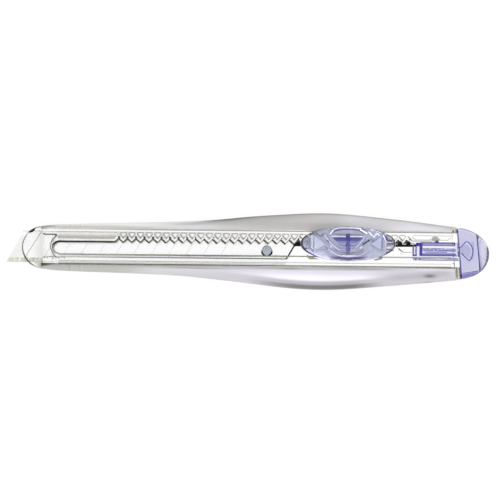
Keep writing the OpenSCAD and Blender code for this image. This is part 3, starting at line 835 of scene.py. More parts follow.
def lower_value(x, out, rim):
    """How light the lower wing is: painted light and shade, with a highlight band, a shaded fold along its
    middle, and a darker spot at the gate's mark near its end.
    """
    shine = step_up(x, -24, 14) * step_down(x, 31, 43)
    shade = step_up(x, -3, 15) * step_down(x, 29, 41)
    value = 180 + 26 * step_up(x, -40, -24) * step_up(out, 0.6, 1.5)
    value += 7 * step_down(x, -30, -20) * step_down(rim, 0.5, 1.4)
    value += shine * (14 + 34 * step_up(out, 1.2, 4.0)) * step_up(rim, 2.1, 3.0) * step_up(out, 0.9, 1.4)
    value -= 20 * shade * step_down(rim, 2.0, 2.8) + 55 * shade * step_down(rim, 1.1, 1.6)
    value += 48 * shade * step_down(rim, 0.0, 0.4) + 20 * step_up(x, 33, 44) * swell(out, 0.75, 0.4)
    value -= 22 * swell(rim, 2.3, 1.1) * step_up(x, 34, 44) * step_down(x, 56, 61)
    value -= 6 * swell(x, 1, 12) * step_up(out, 0.5, 0.9) * step_up(rim, 0.7, 1.4)
    value -= 8 * swell(x, 26, 9) * step_up(out, 1.6, 2.2)
    value += 16 * step_up(x, 46, 52) * step_down(out, 0.9, 1.3)
    crease_shade = swell(out, 1.02 - 0.2 * step_up(x, 8, 18), 0.13)
    value -= 44 * step_up(x, -28, -18) * step_down(x, 36, 46) * crease_shade
    value -= 72 * swell(x, GATE.x, 1.5) * swell(out, -GATE.y - DECK_HALF, 0.5)
    value -= 34 * exp(-((x - GATE.x + 0.4) / 1.4) ** 4) * swell(rim, 0.15, 0.2)
    return value


def grip_tone(x, y, z):
    """How light the milky plastic is, as painted light and shade: darker where it is thick and where it bends
    down at its sides.
    """
    v, up = abs(y - AXIS), y > AXIS
    value = (upper_value if up else lower_value)(x, v - DECK_HALF, reach(x, up) - v)
    # painted highlight and shade on either side of each tick
    for at, way in TICKS:
        if (way > 0) == up:
            value += 14 * swell(x, at + 0.22, 0.14) - 16 * swell(x, at - 0.18, 0.14)
    if z < MID_Z:
        value = 200 + (value - 200) * step_up(z, 0.5, MID_Z)
    value = max(90.0, min(252.0, value))
    late = step_up(x, -34, -10)
    if up:
        return value, value - 0.5 - 1.5 * late, value - 4.5 + 8.5 * late * step_up(value, 192, 222)
    blue = 9 * step_up(value, 150, 185) + 4 * step_up(value, 205, 235)
    return value, value - 1 - 2.5 * late, value - 4.5 + blue * late


def make_grip():
    """The frosted moulding: sections that are close together at the ticks and lean with the seam."""
    last = SEAM_X - 1.35
    stations = [GRIP_X + (last - GRIP_X) * i / 170 for i in range(171)]
    stations += [at + d for at, way in TICKS for d in (-0.5, -0.25, 0, 0.25, 0.5)]
    rings = []
    for x in sorted(set(round(s, 3) for s in stations)):
        lean = max(0, (x - last + 13.65) / 13.65)
        rings.append([(px - (y - AXIS) * SEAM_SLOPE * lean, y, z) for px, y, z in grip_ring(x)])
    mats = [FROST, EDGE_OLIVE, EDGE_PALE, FROST_CLEAR]
    count = len(rings[0])

    def index_of(row, i):
        points = rings[row][i], rings[row][(i + 1) % count]
        if i == OUTER_STEPS:
            mat = EDGE_PALE
        elif i == count - 1:
            mat = EDGE_OLIVE
        elif max(z for x, y, z in points) < BACK_T + 0.01 and min(
                abs(y - AXIS) for x, y, z in points) < SHEATH_HALF + 0.1:
            mat = FROST_CLEAR
        else:
            mat = FROST
        return mats.index(mat)

    bm = bmesh.new()
    skin(bm, rings, index_of)
    split_big_faces(bm)
    ob = mesh_object(bm, "frosted_grip", "handle", mats, ["comfort_grip"], sharp=40)
    # the wings' painted light and shade, stored as each point's tone
    colour_points(ob, grip_tone)
    return ob


# ---- the thumb knob ----
KNOB_X, KNOB_Y = (KNOB_LOW.x + KNOB_HIGH.x) / 2, (KNOB_LOW.y + KNOB_HIGH.y) / 2
KNOB_A, KNOB_B = (KNOB_HIGH.x - KNOB_LOW.x) / 2, (KNOB_HIGH.y - KNOB_LOW.y) / 2
KNOB_H, DISH_A, DISH_B, DISH_DEPTH = 3.4, 7.15, 4.15, 0.9
CROWN_LONG, CROWN_CROSS = 44, 14
RIB_HALF, RIB_END, RIB_DROP = 0.4, 3.0, 0.2


def knob_height(u, v):
    """Height of the knob's top at (u, v) from its middle: a crown with an oval hollow and a cross rib."""
    top = KNOB_H - u * u / (2 * CROWN_LONG) - v * v / (2 * CROWN_CROSS)
    z = top - DISH_DEPTH * max(0.0, 1 - (u / DISH_A) ** 2 - (v / DISH_B) ** 2)
    share = step_down(abs(u), RIB_HALF - 0.12, RIB_HALF + 0.05) * step_down(abs(v), RIB_END - 0.2, RIB_END)
    return z + max(0.0, top - RIB_DROP - z) * share


def knob_surface(x, y):
    """Height of the knob's top in the row frame, rounded over at its rim."""
    u, v = x - KNOB_X, y - KNOB_Y
    r = hypot(u / KNOB_A, v / KNOB_B)
    return KNOB_LOW.z + knob_height(u, v) - 0.5 * max(0.0, (r - 0.9) / 0.1) ** 2


def on_knob(points):
    """Points given from the knob's middle, in the row frame."""
    return [(KNOB_X + u, KNOB_Y + v) for u, v in points]


def make_knob():
    """The violet button: rings of points from its middle to its rim, and a flat foot."""
    around, across = 224, 60
    bm = bmesh.new()
    top = []
    for j in range(1, across + 1):
        r = sin(0.5 * pi * j / across) ** 0.8
        ring = on_knob([(KNOB_A * r * u, KNOB_B * r * v) for u, v in circle(1, around)])
        top.append([bm.verts.new((x, y, knob_surface(x, y))) for x, y in ring])
    centre = bm.verts.new((KNOB_X, KNOB_Y, knob_surface(KNOB_X, KNOB_Y)))
    foot = [bm.verts.new((v.co.x, v.co.y, KNOB_LOW.z)) for v in top[-1]]
    for i in range(around):
        bm.faces.new((centre, top[0][i], top[0][(i + 1) % around]))
    for a, b in zip(top, top[1:] + [foot]):
        band(bm, a, b)
    bm.faces.new(foot[::-1])
    split_big_faces(bm)
    return mesh_object(bm, "violet_knob", "slider", [VIOLET], ["thumb_knob"], sharp=50)


# painted strokes in the knob, its edges, highlights and shade: tone, width, whether the stroke curves, and
# points from the knob's middle
GLINT_WHITE, PALE, FACET_SHADE = (252, 253, 255), (214, 216, 240), [(68, 70, 148)] * 2 + [(98, 101, 172)] * 2
KNOB_LINES = [
    (PALE, 0.36, 1, [(-4.2, 4.1), (-2.4, 4.42), (0.0, 4.5), (2.9, 4.36), (3.7, 4.15)]),
    (GLINT_WHITE, 0.42, 0, [(-5.2, 2.75), (-4.25, 3.9)]),
    ((240, 240, 250), 0.3, 0, [(3.4, 4.1), (5.4, 3.0)]),
    ((134, 132, 178), 0.14, 1, [(-4.3, 3.05), (-3.3, 3.65), (-1.6, 3.97), (0.0, 4.05), (1.65, 3.95),
     (3.3, 3.55), (4.4, 3.02)]),
    ((168, 168, 206), 0.12, 0, [(-5.1, 2.56), (4.9, 2.56)]),
    (GLINT_WHITE, 0.26, 0, [(-4.7, 2.11), (-0.62, 2.11)]),
    (GLINT_WHITE, 0.26, 0, [(0.56, 2.11), (4.3, 2.11)]),
    ((130, 130, 176), 0.14, 0, [(-2.3, -0.45), (2.2, -0.45)]),
    ((136, 136, 168), 0.26, 1, [(-3.7, -1.6), (-2.45, -2.3), (-0.6, -2.62), (1.44, -2.62), (3.7, -2.1),
     (4.4, -1.6)]),
    ((206, 202, 232), 0.42, 1, [(-5.7, -1.5), (-4.1, -2.6), (-2.45, -3.35), (0.0, -3.65), (2.87, -3.38),
     (4.5, -2.7), (5.7, -1.8)]),
    ((238, 234, 248), 0.24, 1, [(-1.6, -3.3), (0.0, -3.42), (2.0, -3.27)]),
    ((150, 160, 202), 0.12, 0, [(-9.7, 2.3), (-9.7, -2.2)]),
    ((132, 138, 192), 0.14, 0, [(9.67, 2.7), (9.67, -2.0)]),
    ((92, 90, 150), 0.2, 0, [(-9.9, 3.15), (-9.75, 2.3)]),
    ((122, 120, 158), 0.3, 0, [(-9.3, 2.95), (-7.8, 2.0), (-6.95, 2.8)]),
    ((206, 202, 218), 0.4, 0, [(-11.6, 2.4), (-10.6, 1.68)]),
    ((200, 196, 216), 0.34, 0, [(-9.2, 2.45), (-7.9, 1.5)]),
    (PALE, 0.42, 1, [(-6.75, 2.6), (-5.9, 1.3), (-4.4, -0.4), (-2.45, -1.85)]),
    ((150, 150, 195), 0.12, 1, [(-6.2, 2.7), (-5.2, 1.2), (-3.6, -0.7), (-2.3, -1.5)]),
    ((62, 66, 98), 0.34, 0, [(-6.03, 1.03), (-5.4, 0.35)]),
    ((70, 72, 112), 0.22, 0, [(-6.3, -1.1), (-5.9, -1.4)]),
    (GLINT_WHITE, 0.3, 0, [(-5.1, -0.57), (-4.5, -1.0)]),
    ((212, 212, 236), 0.34, 1, [(4.9, 2.3), (4.0, 0.9), (3.1, -0.2), (2.2, -1.1)]),
    ((150, 150, 195), 0.12, 1, [(5.5, 2.3), (4.6, 0.9), (3.6, -0.3), (2.6, -1.3)]),
    ((58, 62, 96), 0.4, 0, [(6.15, 1.17), (5.2, 0.56), (4.2, -0.26)]),
    (GLINT_WHITE, 0.34, 0, [(3.4, -1.2), (4.0, -0.77)]),
    ((238, 238, 248), 0.18, 0, [(5.9, 3.5), (7.27, 1.99), (8.3, 3.15), (9.0, 2.4)]),
    ((120, 120, 160), 0.18, 0, [(6.45, 1.48), (7.27, 0.7), (8.15, 1.58)]),
    ((200, 210, 238), 0.4, 1, [(9.95, 2.5), (10.6, 1.48), (10.82, 0.05), (10.6, -1.6)]),
    ((196, 196, 206), 0.5, 0, [(11.25, 2.1), (12.3, 1.35)]),
    ((50, 52, 84), 0.32, 1, [(10.55, 2.2), (11.1, 1.23), (12.5, 0.86)]),
    ((228, 229, 238), 0.18, 0, [(11.2, 0.56), (12.9, 0.56)]),
    ((112, 114, 128), 0.46, 0, [(11.2, 0.12), (13.1, 0.12)]),
    ((240, 242, 250), 0.44, 0, [(10.95, -0.98), (12.9, -0.98)]),
    ((150, 150, 190), 0.12, 0, [(11.0, -1.5), (12.6, -1.5)]),
    ((94, 100, 108), 0.22, 1, [(-12.9, 1.2), (-13.05, 0.05), (-12.65, -1.0)]),
    ((122, 126, 138), 0.2, 1, [(-12.8, 1.45), (-11.9, 1.9), (-10.95, 1.5)]),
    ((130, 136, 152), 0.16, 1, [(-12.3, 0.45), (-11.66, 0.66), (-11.45, 0.05), (-11.9, -0.36)]),
    ((176, 182, 204), 0.16, 0, [(-10.8, 1.3), (-10.75, -1.2)]),
    ((138, 144, 160), 0.2, 0, [(-12.2, -1.2), (-11.0, -1.5)]),
    ((160, 162, 205), 0.14, 0, [(-9.5, -1.5), (-5.9, -1.8)]),
]
# painted shade and light of facets and hollows, as patches: tone, or a tone for each corner, and their outline
KNOB_PATCHES = [
    ((180, 180, 204), [(-4.3, 3.0), (-3.3, 3.6), (-1.6, 3.9), (0.0, 3.97), (1.65, 3.9), (3.3, 3.5),
     (4.4, 3.0), (4.2, 2.87), (-4.2, 2.87)]),
    (FACET_SHADE, [(-4.5, 1.78), (-0.6, 1.78), (-0.6, 0.76), (-3.27, 0.76)]),
    (FACET_SHADE, [(0.56, 1.78), (4.3, 1.78), (3.08, 0.76), (0.56, 0.76)]),
    ((150, 152, 206), [(-3.1, 0.7), (2.95, 0.7), (2.6, 0.36), (-2.7, 0.36)]),
    ((168, 170, 206), [(-2.65, 0.3), (2.55, 0.3), (2.1, -0.36), (-2.2, -0.36)]),
    ((162, 165, 214), [(-2.2, -0.62), (2.2, -0.62), (1.9, -1.25), (-2.0, -1.25)]),
    ([(110, 110, 150), (84, 86, 122), (70, 72, 108), (84, 86, 122), (110, 110, 150), (96, 96, 132),
     (76, 78, 116), (96, 96, 132)], [(-5.4, -3.6), (-2.4, -3.78), (0.0, -3.84), (2.6, -3.76), (5.8, -3.5),
     (3.2, -4.32), (0.0, -4.5), (-3.2, -4.34)]),
    ((218, 224, 243), [(-9.6, 2.2), (-6.4, -0.15), (-9.6, -2.2)]),
    ((222, 228, 243), [(-10.6, 2.4), (-9.8, 2.5), (-9.8, -1.8), (-10.6, -1.3)]),
    ((210, 216, 240), [(9.5, 2.3), (9.5, -1.8), (6.56, 0.05)]),
    ((186, 189, 201), [(-12.95, 1.0), (-12.2, 1.7), (-11.2, 1.6), (-10.85, 0.9), (-10.85, -0.9),
     (-11.6, -1.5), (-12.6, -0.9), (-13.0, 0.0)]),
    ((56, 56, 96), [(0.34, -1.25), (0.7, -1.25), (0.66, -1.6), (0.36, -1.6)]),
    (GLINT_WHITE, bar(0.92, 1.16, -1.68, -1.92)),
    ((48, 52, 86), bar(10.8, 11.12, -2.15, -2.45)),
]
# painted shade on the cross rib, darker at its left edge
RIB_PATCHES = [
    ((76, 70, 168), [(-0.58, 3.42), (0.52, 3.42), (0.5, 0.86), (-0.55, 0.86)]),
    ((58, 52, 148), [(-0.6, 3.4), (-0.42, 3.4), (-0.38, 0.86), (-0.56, 0.86)]),
    ((112, 104, 190), [(-0.4, 0.86), (0.32, 0.86), (0.26, -2.6), (-0.28, -2.6)]),
]
# angle round the knob, width and tone of its painted dark rim, where its rounded edge looks dark
KNOB_RIM = [
    (-6, 0.3, (64, 54, 176)), (12, 0.22, (100, 98, 150)), (38, 0.24, (96, 94, 144)),
    (48, 0.46, (80, 78, 126)), (72, 0.46, (82, 80, 128)), (80, 0.24, (116, 112, 164)),
    (104, 0.24, (118, 114, 166)), (112, 0.42, (98, 95, 144)), (130, 0.46, (94, 92, 138)),
    (140, 0.26, (110, 110, 146)), (165, 0.24, (104, 108, 136)), (184, 0.24, (74, 66, 168)),
    (200, 0.4, (62, 52, 170)), (214, 0.55, (60, 50, 172)), (230, 0.5, (66, 58, 172)),
    (243, 0.44, (78, 72, 168)), (256, 0.4, (96, 93, 160)), (285, 0.28, (106, 104, 164)),
    (300, 0.2, (92, 88, 172)), (312, 0.3, (70, 60, 178)), (327, 0.42, (60, 50, 180)),
    (341, 0.46, (60, 50, 180)), (354, 0.3, (64, 54, 176)),
]


def rim_point(a, inset):
    """A point on the knob's oval outline, moved in from it by an inset."""
    across, along = KNOB_B * cos(a), KNOB_A * sin(a)
    share = inset / hypot(across, along)
    return KNOB_A * cos(a) - across * share, KNOB_B * sin(a) - along * share


def draw_knob_rim(lines):
    """The painted deep violet rim of the knob, and a pale sheet under it that stands for the bright light seen
    through.
    """
    points, widths, tones = [], [], []
    for a, w, tone in between(KNOB_RIM, lambda turn: max(2, round(turn / 3))):
        points.append(rim_point(a, 0.08 + w / 2))
        widths.append(w)
        tones.append(tone)
    lines.line(points, widths, KNOB_LOW.z + 0.9, tones, 0.1, closed=True)
    floor = [((KNOB_A - 0.3) * u, (KNOB_B - 0.3) * v) for u, v in circle(1, 80)]
    lines.patch(floor, KNOB_LOW.z + 0.16, (243, 243, 245), 0.06)


def make_knob_mould():
    """The strokes, facets and rim painted in the violet knob, its edges, highlights and shade, and two lips of
    the plate under it painted as shade.
    """
    lines = Lines(on_knob)
    for tone, width, curved, points in KNOB_LINES:
        depth = 0.12 if sum(tone) > 700 else 0.15
        lines.line(smooth_line(points) if curved else dense(points), width,
                   lambda x, y: knob_surface(x, y) - depth, tone, 0.05)
    for depth, patches in ((0.24, KNOB_PATCHES), (0.19, RIB_PATCHES)):
        for tone, outline in patches:
            middle = sum((Vector(p) for p in outline), Vector((0, 0))) / len(outline)
            lowest = min(knob_surface(*p) for p in on_knob(outline + [middle]))
            lines.patch(outline, lowest - depth, tone, 0.05)
    draw_knob_rim(lines)
    for lip in ([(-11.7, -3.2), (-11.0, -3.55), (-8.6, -4.3), (-8.4, -4.5), (-10.9, -4.5), (-11.7, -3.9)],
                [(7.4, -4.45), (9.8, -3.7), (9.95, -3.75), (9.9, -4.3), (8.0, -4.7)]):
        lines.patch(lip, BASE_HIGH.z - 0.06, (152, 154, 138))
    return lines.finish("knob_inner_mould", "slider")


# ---- the rear cap and its latch ----
CAP_MID, CAP_TIP, CAP_LONG = -0.18, 0.1, 10
CAP_UP, CAP_DOWN, CAP_RISE = 6.35, 8.35, 4.0
SNAP_X, SNAP_HALF = CAP_END - 3.6, 0.3


def cap_size(t):
    """The cap at a share t of its length: its middle off the axis, its reach up and down, its rise."""
    w, h = sqrt(max(0, 1 - t ** 2)), sqrt(max(0, 1 - t ** 3))
    mid = (CAP_MID - AXIS) * (1 - w)
    rise = CAP_TIP + (CAP_RISE - CAP_TIP) * h
    return mid, (CAP_UP + mid) * w + CAP_TIP, (CAP_DOWN - mid) * w + CAP_TIP, rise


def cap_place(t):
    """The place along x of a share t of the cap's length, which starts 1 inside the sheath."""
    return SEAM_X - 1 + t * CAP_LONG


def cap_share(x):
    return (x - SEAM_X + 1) / CAP_LONG


def cap_surface(x, y):
    """Height of the cap's top at a place."""
    mid, up, down, rise = cap_size(cap_share(x))
    v = y - AXIS - mid
    return MID_Z + rise * (1 - min(1, abs(v) / (up if v > 0 else down)) ** 2.5) ** 0.4


def cap_ring(t):
    """One section of the cap, a share t of the way to its end."""
    mid, up, down, rise = cap_size(t)
    ring = []
    for i in range(72):
        c, s = rounded(2 * pi * i / 72)
        ring.append((cap_place(t), AXIS + mid + (up if c > 0 else down) * c, max(MID_Z + rise * s, 0.0)))
    return ring


def cap_tone(x, y, z):
    """The cap's lower flank is a deeper violet in front of the snap slot, and its clear end is the palest."""
    v, rear = y - AXIS, x - SEAM_X
    deep = step_up(-v, 6.75 - 0.18 * rear, 7.2 - 0.18 * rear)
    deep *= step_up(z, 0.6, 2.0) * step_down(x, SNAP_X + 0.3, SNAP_X + 1.4)
    low = deep * step_up(-v, 7.0 - 0.2 * rear, 8.4 - 0.28 * rear)
    late = step_up(x, SNAP_X - 0.2, SNAP_X + 0.4)
    return (239 + 14 * late - 124 * deep - 34 * low, 241 + 13 * late - 130 * deep - 38 * low,
            244 + 10 * late - 62 * deep - 20 * low)


def boolean(ob, cutter):
    """Cuts one object with another and deletes the other."""
    mod = ob.modifiers.new("cut", "BOOLEAN")
    mod.object, mod.operation, mod.solver = cutter, "DIFFERENCE", "EXACT"
    bpy.context.view_layer.update()
    done = bpy.data.meshes.new_from_object(ob.evaluated_get(bpy.context.evaluated_depsgraph_get()))
    ob.modifiers.clear()
    old, ob.data = ob.data, done
    bpy.data.meshes.remove(old)
    bpy.data.objects.remove(cutter)


def block(x0, x1, low, high):
    """A plain box for cutting, whose x faces lean with the seam."""
    bm = bmesh.new()
    bmesh.ops.create_cube(bm, size=1)
    for v in bm.verts:
        y = -30 if v.co.y < 0 else 30
        x = x0 if v.co.x < 0 else x1
        v.co = Vector((x - (y - AXIS) * SEAM_SLOPE, y, low if v.co.z < 0 else high))
    return add_object(bm, "cutter")


def make_cap():
    """The violet cap: a round end, cut off at the seam, with the snap slot and room for the latch cut out."""
    bm = bmesh.new()
    skin(bm, [cap_ring(sin(radians(a))) for a in range(0, 88, 2)] + [cap_ring(1.0)])
    ob = mesh_object(bm, "violet_cap", "cap", [VIOLET_CAP], ["rear_cap"], sharp=40)
    boolean(ob, block(SEAM_X - 20, SEAM_X, -5, 20))
    boolean(ob, block(SNAP_X, CAP_END + 5, MID_Z - SNAP_HALF, MID_Z + SNAP_HALF))
    cutter = bpy.data.objects.new("cutter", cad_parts["cap_latch"].data.copy())
    bpy.context.scene.collection.objects.link(cutter)
    boolean(ob, cutter)
    colour_points(ob, cap_tone)
    return ob


def under_cap(depth):
    """A height that follows the cap's top at a depth below it."""
    return lambda x, y: cap_surface(x, y) - depth


def from_seam(points):
    """Points given as x from the seam on the axis and distance from the axis, in the row frame."""
    return [(SEAM_X + u, AXIS + v) for u, v in points]


def draw_cap_rim(lines):
    """The painted dark line along the cap's rounded edge, and the painted pale lip inside its far end."""
    rim, tones = [], []
    for up, angles in ((True, range(8, 91, 3)), (False, range(88, 30, -3))):
        for a in angles:
            t = sin(radians(a))
            mid, reach_up, reach_down, rise = cap_size(t)
            u, v = cap_place(t) - SEAM_X, mid + reach_up if up else mid - reach_down
            if u > 0.3 - v * SEAM_SLOPE:
                rim.append((u - 0.2 * t ** 4, 0.982 * v))
                tones.append((134, 130, 184) if up and a < 70 else (112, 106, 172))
    end = CAP_END - SEAM_X
    widths = [0.2 + 0.16 * step_up(u, end - 1.2, end - 0.3) for u, v in rim]
    lines.line(rim, widths, lambda x, y: MID_Z + 0.34 * cap_size(cap_share(x))[3], tones, 0.5)
    lip = [(u - 0.52, v) for u, v in rim if v < 1.2 and u > end - 2.0]
    lines.line(lip, 0.66, MID_Z + SNAP_HALF + 0.14, (172, 170, 212), 0.06)


def make_cap_lines():
    """Ribs and edges that show through the cap, drawn as painted dark lines and highlights: its mouth, the
    latch's head and the snap slot.
    """
    lines = Lines(from_seam)
    snap = SNAP_X - SEAM_X
    mouth = [v / 4 for v in range(-32, 25)]
    lines.line([(0.24 - v * SEAM_SLOPE, v) for v in mouth], [0.28 + 0.4 * abs(v) / 30 for v in mouth],
               under_cap(0.4), [(70 + 16 * step_up(v, 1, 4), 64 + 18 * step_up(v, 1, 4), 140) for v in mouth])
    fan = [(-0.3, 0.66), (0.6, 0.85), (1.9, 2.25), (2.5, 2.42), (3.5, 1.55), (4.1, 0.1), (3.9, -1.7),
           (3.4, -2.75), (2.8, -2.7), (1.5, -1.5), (0.9, -0.75)]
    lines.line(smooth_line(fan), 0.3, under_cap(0.2), (96, 92, 170))
    inner = [(2.3, 2.0), (3.1, 1.3), (3.7, 0.1), (3.5, -1.6)]
    lines.line(smooth_line(inner), 0.2, under_cap(0.22), (236, 237, 250))
    slot = [v / 4 for v in range(-23, 20)]
    edge = [(snap + 0.08 - v * SEAM_SLOPE * 1.15, v) for v in slot]
    lines.line(edge, [0.26 + 0.48 * abs(v) / 26 for v in slot], MID_Z + 1.0,
               [(78, 73, 160) if abs(v) < 3.5 else (68, 62, 150) for v in slot])
    lines.line([(u + 0.42, v) for u, v in edge[2:-2]], 0.14, MID_Z + 1.2, (226, 228, 246))
    draw_cap_rim(lines)
    for a, tone in ((-30, (226, 228, 246)), (-6, (238, 239, 250)), (22, (230, 232, 247))):
        bearing = radians(a)
        ray = dense([(snap + 0.8, -0.7 + 0.5 * sin(bearing)),
                     (snap + 3.1 * cos(bearing), -0.9 + 5.0 * sin(bearing))])
        lines.line(ray, 0.13, under_cap(0.5), tone)
    low_rib = dense([(0.6 + 6.55 * SEAM_SLOPE, -6.55), (snap + 0.5, -5.75)])
    lines.line(low_rib, 0.14, under_cap(0.4), (132, 126, 194))
    return lines.finish("cap_lines", "cap")


# painted strokes in the tongue, its edges, highlights and shade: tone, width and points from its front end and
# the axis
LATCH_LINES = [
    ((66, 62, 130), 0.4, [(2.3, 2.0), (12.3, 2.0)]),
    ((122, 119, 190), 0.5, [(2.8, 1.42), (12.3, 1.42)]),
    ((255, 255, 255), 0.32, [(2.8, 0.8), (11.8, 0.78)]),
    ((92, 88, 176), 0.2, [(2.9, 0.42), (13.3, 0.32)]),
    ((144, 143, 198), 0.56, [(3.0, -0.05), (12.9, -0.15)]),
    ((126, 124, 192), 0.24, [(3.3, -0.6), (9.9, -0.6)]),
    ((188, 188, 224), 0.2, [(3.9, -0.85), (12.5, -0.85)]),
    ((108, 102, 184), 0.34, [(2.9, -1.15), (12.9, -1.15)]),
    ((88, 82, 164), 0.4, [(2.9, -1.55), (12.9, -1.55)]),
    ((58, 50, 158), 0.84, [(2.46, 2.05), (2.46, -1.72)]),
    ((58, 50, 158), 1.0, [(1.0, 1.55), (2.5, 1.55)]),
    ((252, 252, 255), 0.44, [(1.8, 0.55), (1.6, -0.4), (1.75, -1.6)]),
    ((84, 80, 172), 0.36, [(1.1, 0.9), (1.0, -0.5), (1.15, -1.75)]),
    ((235, 235, 250), 0.16, [(0.72, 0.6), (0.72, -1.1)]),
    ((52, 46, 124), 0.32, [(0.24, 0.95), (0.24, -1.8)]),
    ((50, 44, 120), 0.4, [(0.2, -1.55), (1.0, -1.55)]),
    ((50, 45, 122), 0.3, [(12.1, 2.1), (12.1, 1.45)]),
    ((90, 86, 170), 0.16, [(11.7, 0.28), (12.8, 0.36)]),
    ((158, 156, 208), 0.4, [(12.9, 2.2), (12.9, 0.5)]),
    ((92, 88, 164), 0.3, [(13.05, -0.2), (13.25, -1.9)]),
]


def make_latch():
    """The violet tongue, with its bump rounded at the rear."""
    bm = carried("cap_latch")
    bevel(bm, 0.5, 4, 60, lambda e: abs((e.verts[0].co - e.verts[1].co).normalized().z) > 0.9
          and e.verts[0].co.x > SEAM_X + 2)
    bevel(bm, 0.1, 2, 28)
    ob = mesh_object(bm, "violet_latch", "cap", [VIOLET_LATCH], ["cap_latch"])
    colour_points(ob, lambda x, y, z: (247, 247, 253) if x < SEAM_X - 0.4 else (252, 252, 255))
    return ob


def on_tongue(points):
    """Points given as x from the tongue's front end and distance from the axis, in the row frame."""
    return [(LATCH_LOW.x + u, AXIS + v) for u, v in points]


def make_latch_lines():
    """The bars and ribs of the tongue, drawn as painted edges, highlights and shade, and its flange under the
    deck.
    """
    lines = Lines(on_tongue)
    top, under = LATCH_HIGH.z - 0.05, DECK_UNDER - 0.07
    for i, (tone, width, points) in enumerate(LATCH_LINES):
        lines.line(points, width, top + 0.001 * i, tone, 0.06)
    for i in range(14):
        u, v = 5.1 + 0.36 * i, (0.32, 0.05, 0.42, -0.2, 0.18)[i % 5]
        lines.patch(bar(u - 0.12, u + 0.12, v - 0.12, v + 0.12), top + 0.03,
                    (98, 94, 184) if i % 3 else (250, 250, 255))
    lines.patch([(6.3, 2.15), (7.6, 2.15), (7.3, 2.75), (6.7, 2.75)], top + 0.03, (82, 78, 152))
    lines.patch(bar(12.45, 12.85, 1.7, -1.5), top + 0.03, (226, 228, 246))
    lines.patch([(0.1, -2.15), (13.1, -2.15), (13.4, -3.05), (0.3, -3.05)], under,
                [(196, 193, 228), (176, 172, 216), (164, 159, 208), (190, 187, 224)], 0.13)
    lines.patch([(3.3, -2.62), (5.9, -2.4), (9.4, -2.42), (11.5, -2.6), (7.9, -2.72)], under + 0.03,
                (242, 242, 250))
    for u in (1.05, 2.2):
        lines.line([(u, -2.2), (u, -3.0)], 0.42, under + 0.04, (112, 104, 186))
    lines.line([(2.7, -3.0), (13.3, -3.0)], 0.15, under + 0.05, (142, 137, 194))
    return lines.finish("latch_lines", "cap")


# ---- the slider, the spring and the blade ----
PIN_X, PIN_Y, PIN_R = (PIN_LOW.x + PIN_HIGH.x) / 2, (PIN_LOW.y + PIN_HIGH.y) / 2, (PIN_HIGH.x - PIN_LOW.x) / 2


def make_carriage():
    """The clear flat holder under the deck."""
    bm = carried("blade_carriage")
    bevel(bm, 0.12)
    return mesh_object(bm, "clear_carriage", "slider", [CLEAR_CARRIER], ["blade_carriage"])


def make_base():
    """The clear plate under the knob, with its stem in the slot, kept clear of the carriage."""
    bm = carried("slider_base")
    for v in bm.verts:
        if v.co.z < BASE_LOW.z + 0.02:
            v.co.z += 0.08
    bevel(bm, 0.05, 2, 40)
    return mesh_object(bm, "clear_slider_base", "slider", [CLEAR_BASE], ["slider_base"])


def make_spring():
    """The spring, with its pawls' dark feet, which show through the deck."""
    bm = carried("lock_spring")
    for v in bm.verts:
        if v.co.x > RACK_X + 32.5 * PITCH and v.co.y - AXIS < 0.8:
            v.co.y += 0.2
    bevel(bm, 0.04)
    low, high = 4.36, 4.47
    pawl, end = SPRING_LOW.x + 1.22, SPRING_HIGH.x
    plate(bm, deck([(pawl - 1.3, 1.0), (pawl + 1.3, 1.0), (pawl + 0.9, 2.0), (pawl + 0.12, 2.9)]), low, high)
    for x in (end - 5.15, end - 2.7):
        plate(bm, deck([(x - 1.25, 1.5), (x + 1.25, 1.5), (x + 0.1, 2.85), (x - 0.14, 2.9)]), low, high)
    plate(bm, deck(bar(end - 7.2, end + 0.4, 0.86, 1.5)), low, high)
    trace(bm, deck([(end - 1.8, 1.9), (end - 0.8, 1.86), (end, 1.4)]), 0.2, low, high)
    return mesh_object(bm, "steel_lock_spring", "slider", [SPRING], ["lock_spring"])


def make_pin():
    """The round pin in the blade's tail, with the chamfer round its top painted darker as shade."""
    bm = bmesh.new()
    # how far in from the pin's side each ring lies, and its height
    profile = [(0, PIN_LOW.z), (0, PIN_HIGH.z - 0.28), (0.1, PIN_HIGH.z - 0.04), (0.16, PIN_HIGH.z),
               (0.5, PIN_HIGH.z), (0.6, PIN_HIGH.z - 0.05)]
    rings = [[(x, y, z) for x, y in circle(PIN_R - inset, 48, PIN_X, PIN_Y)] for inset, z in profile]
    skin(bm, rings, lambda row, i: 1 if row in (1, 2) else 0)
    return mesh_object(bm, "blade_pin_round", "slider", [PIN_STEEL, PIN_RIM_SHADE], ["blade_pin"])


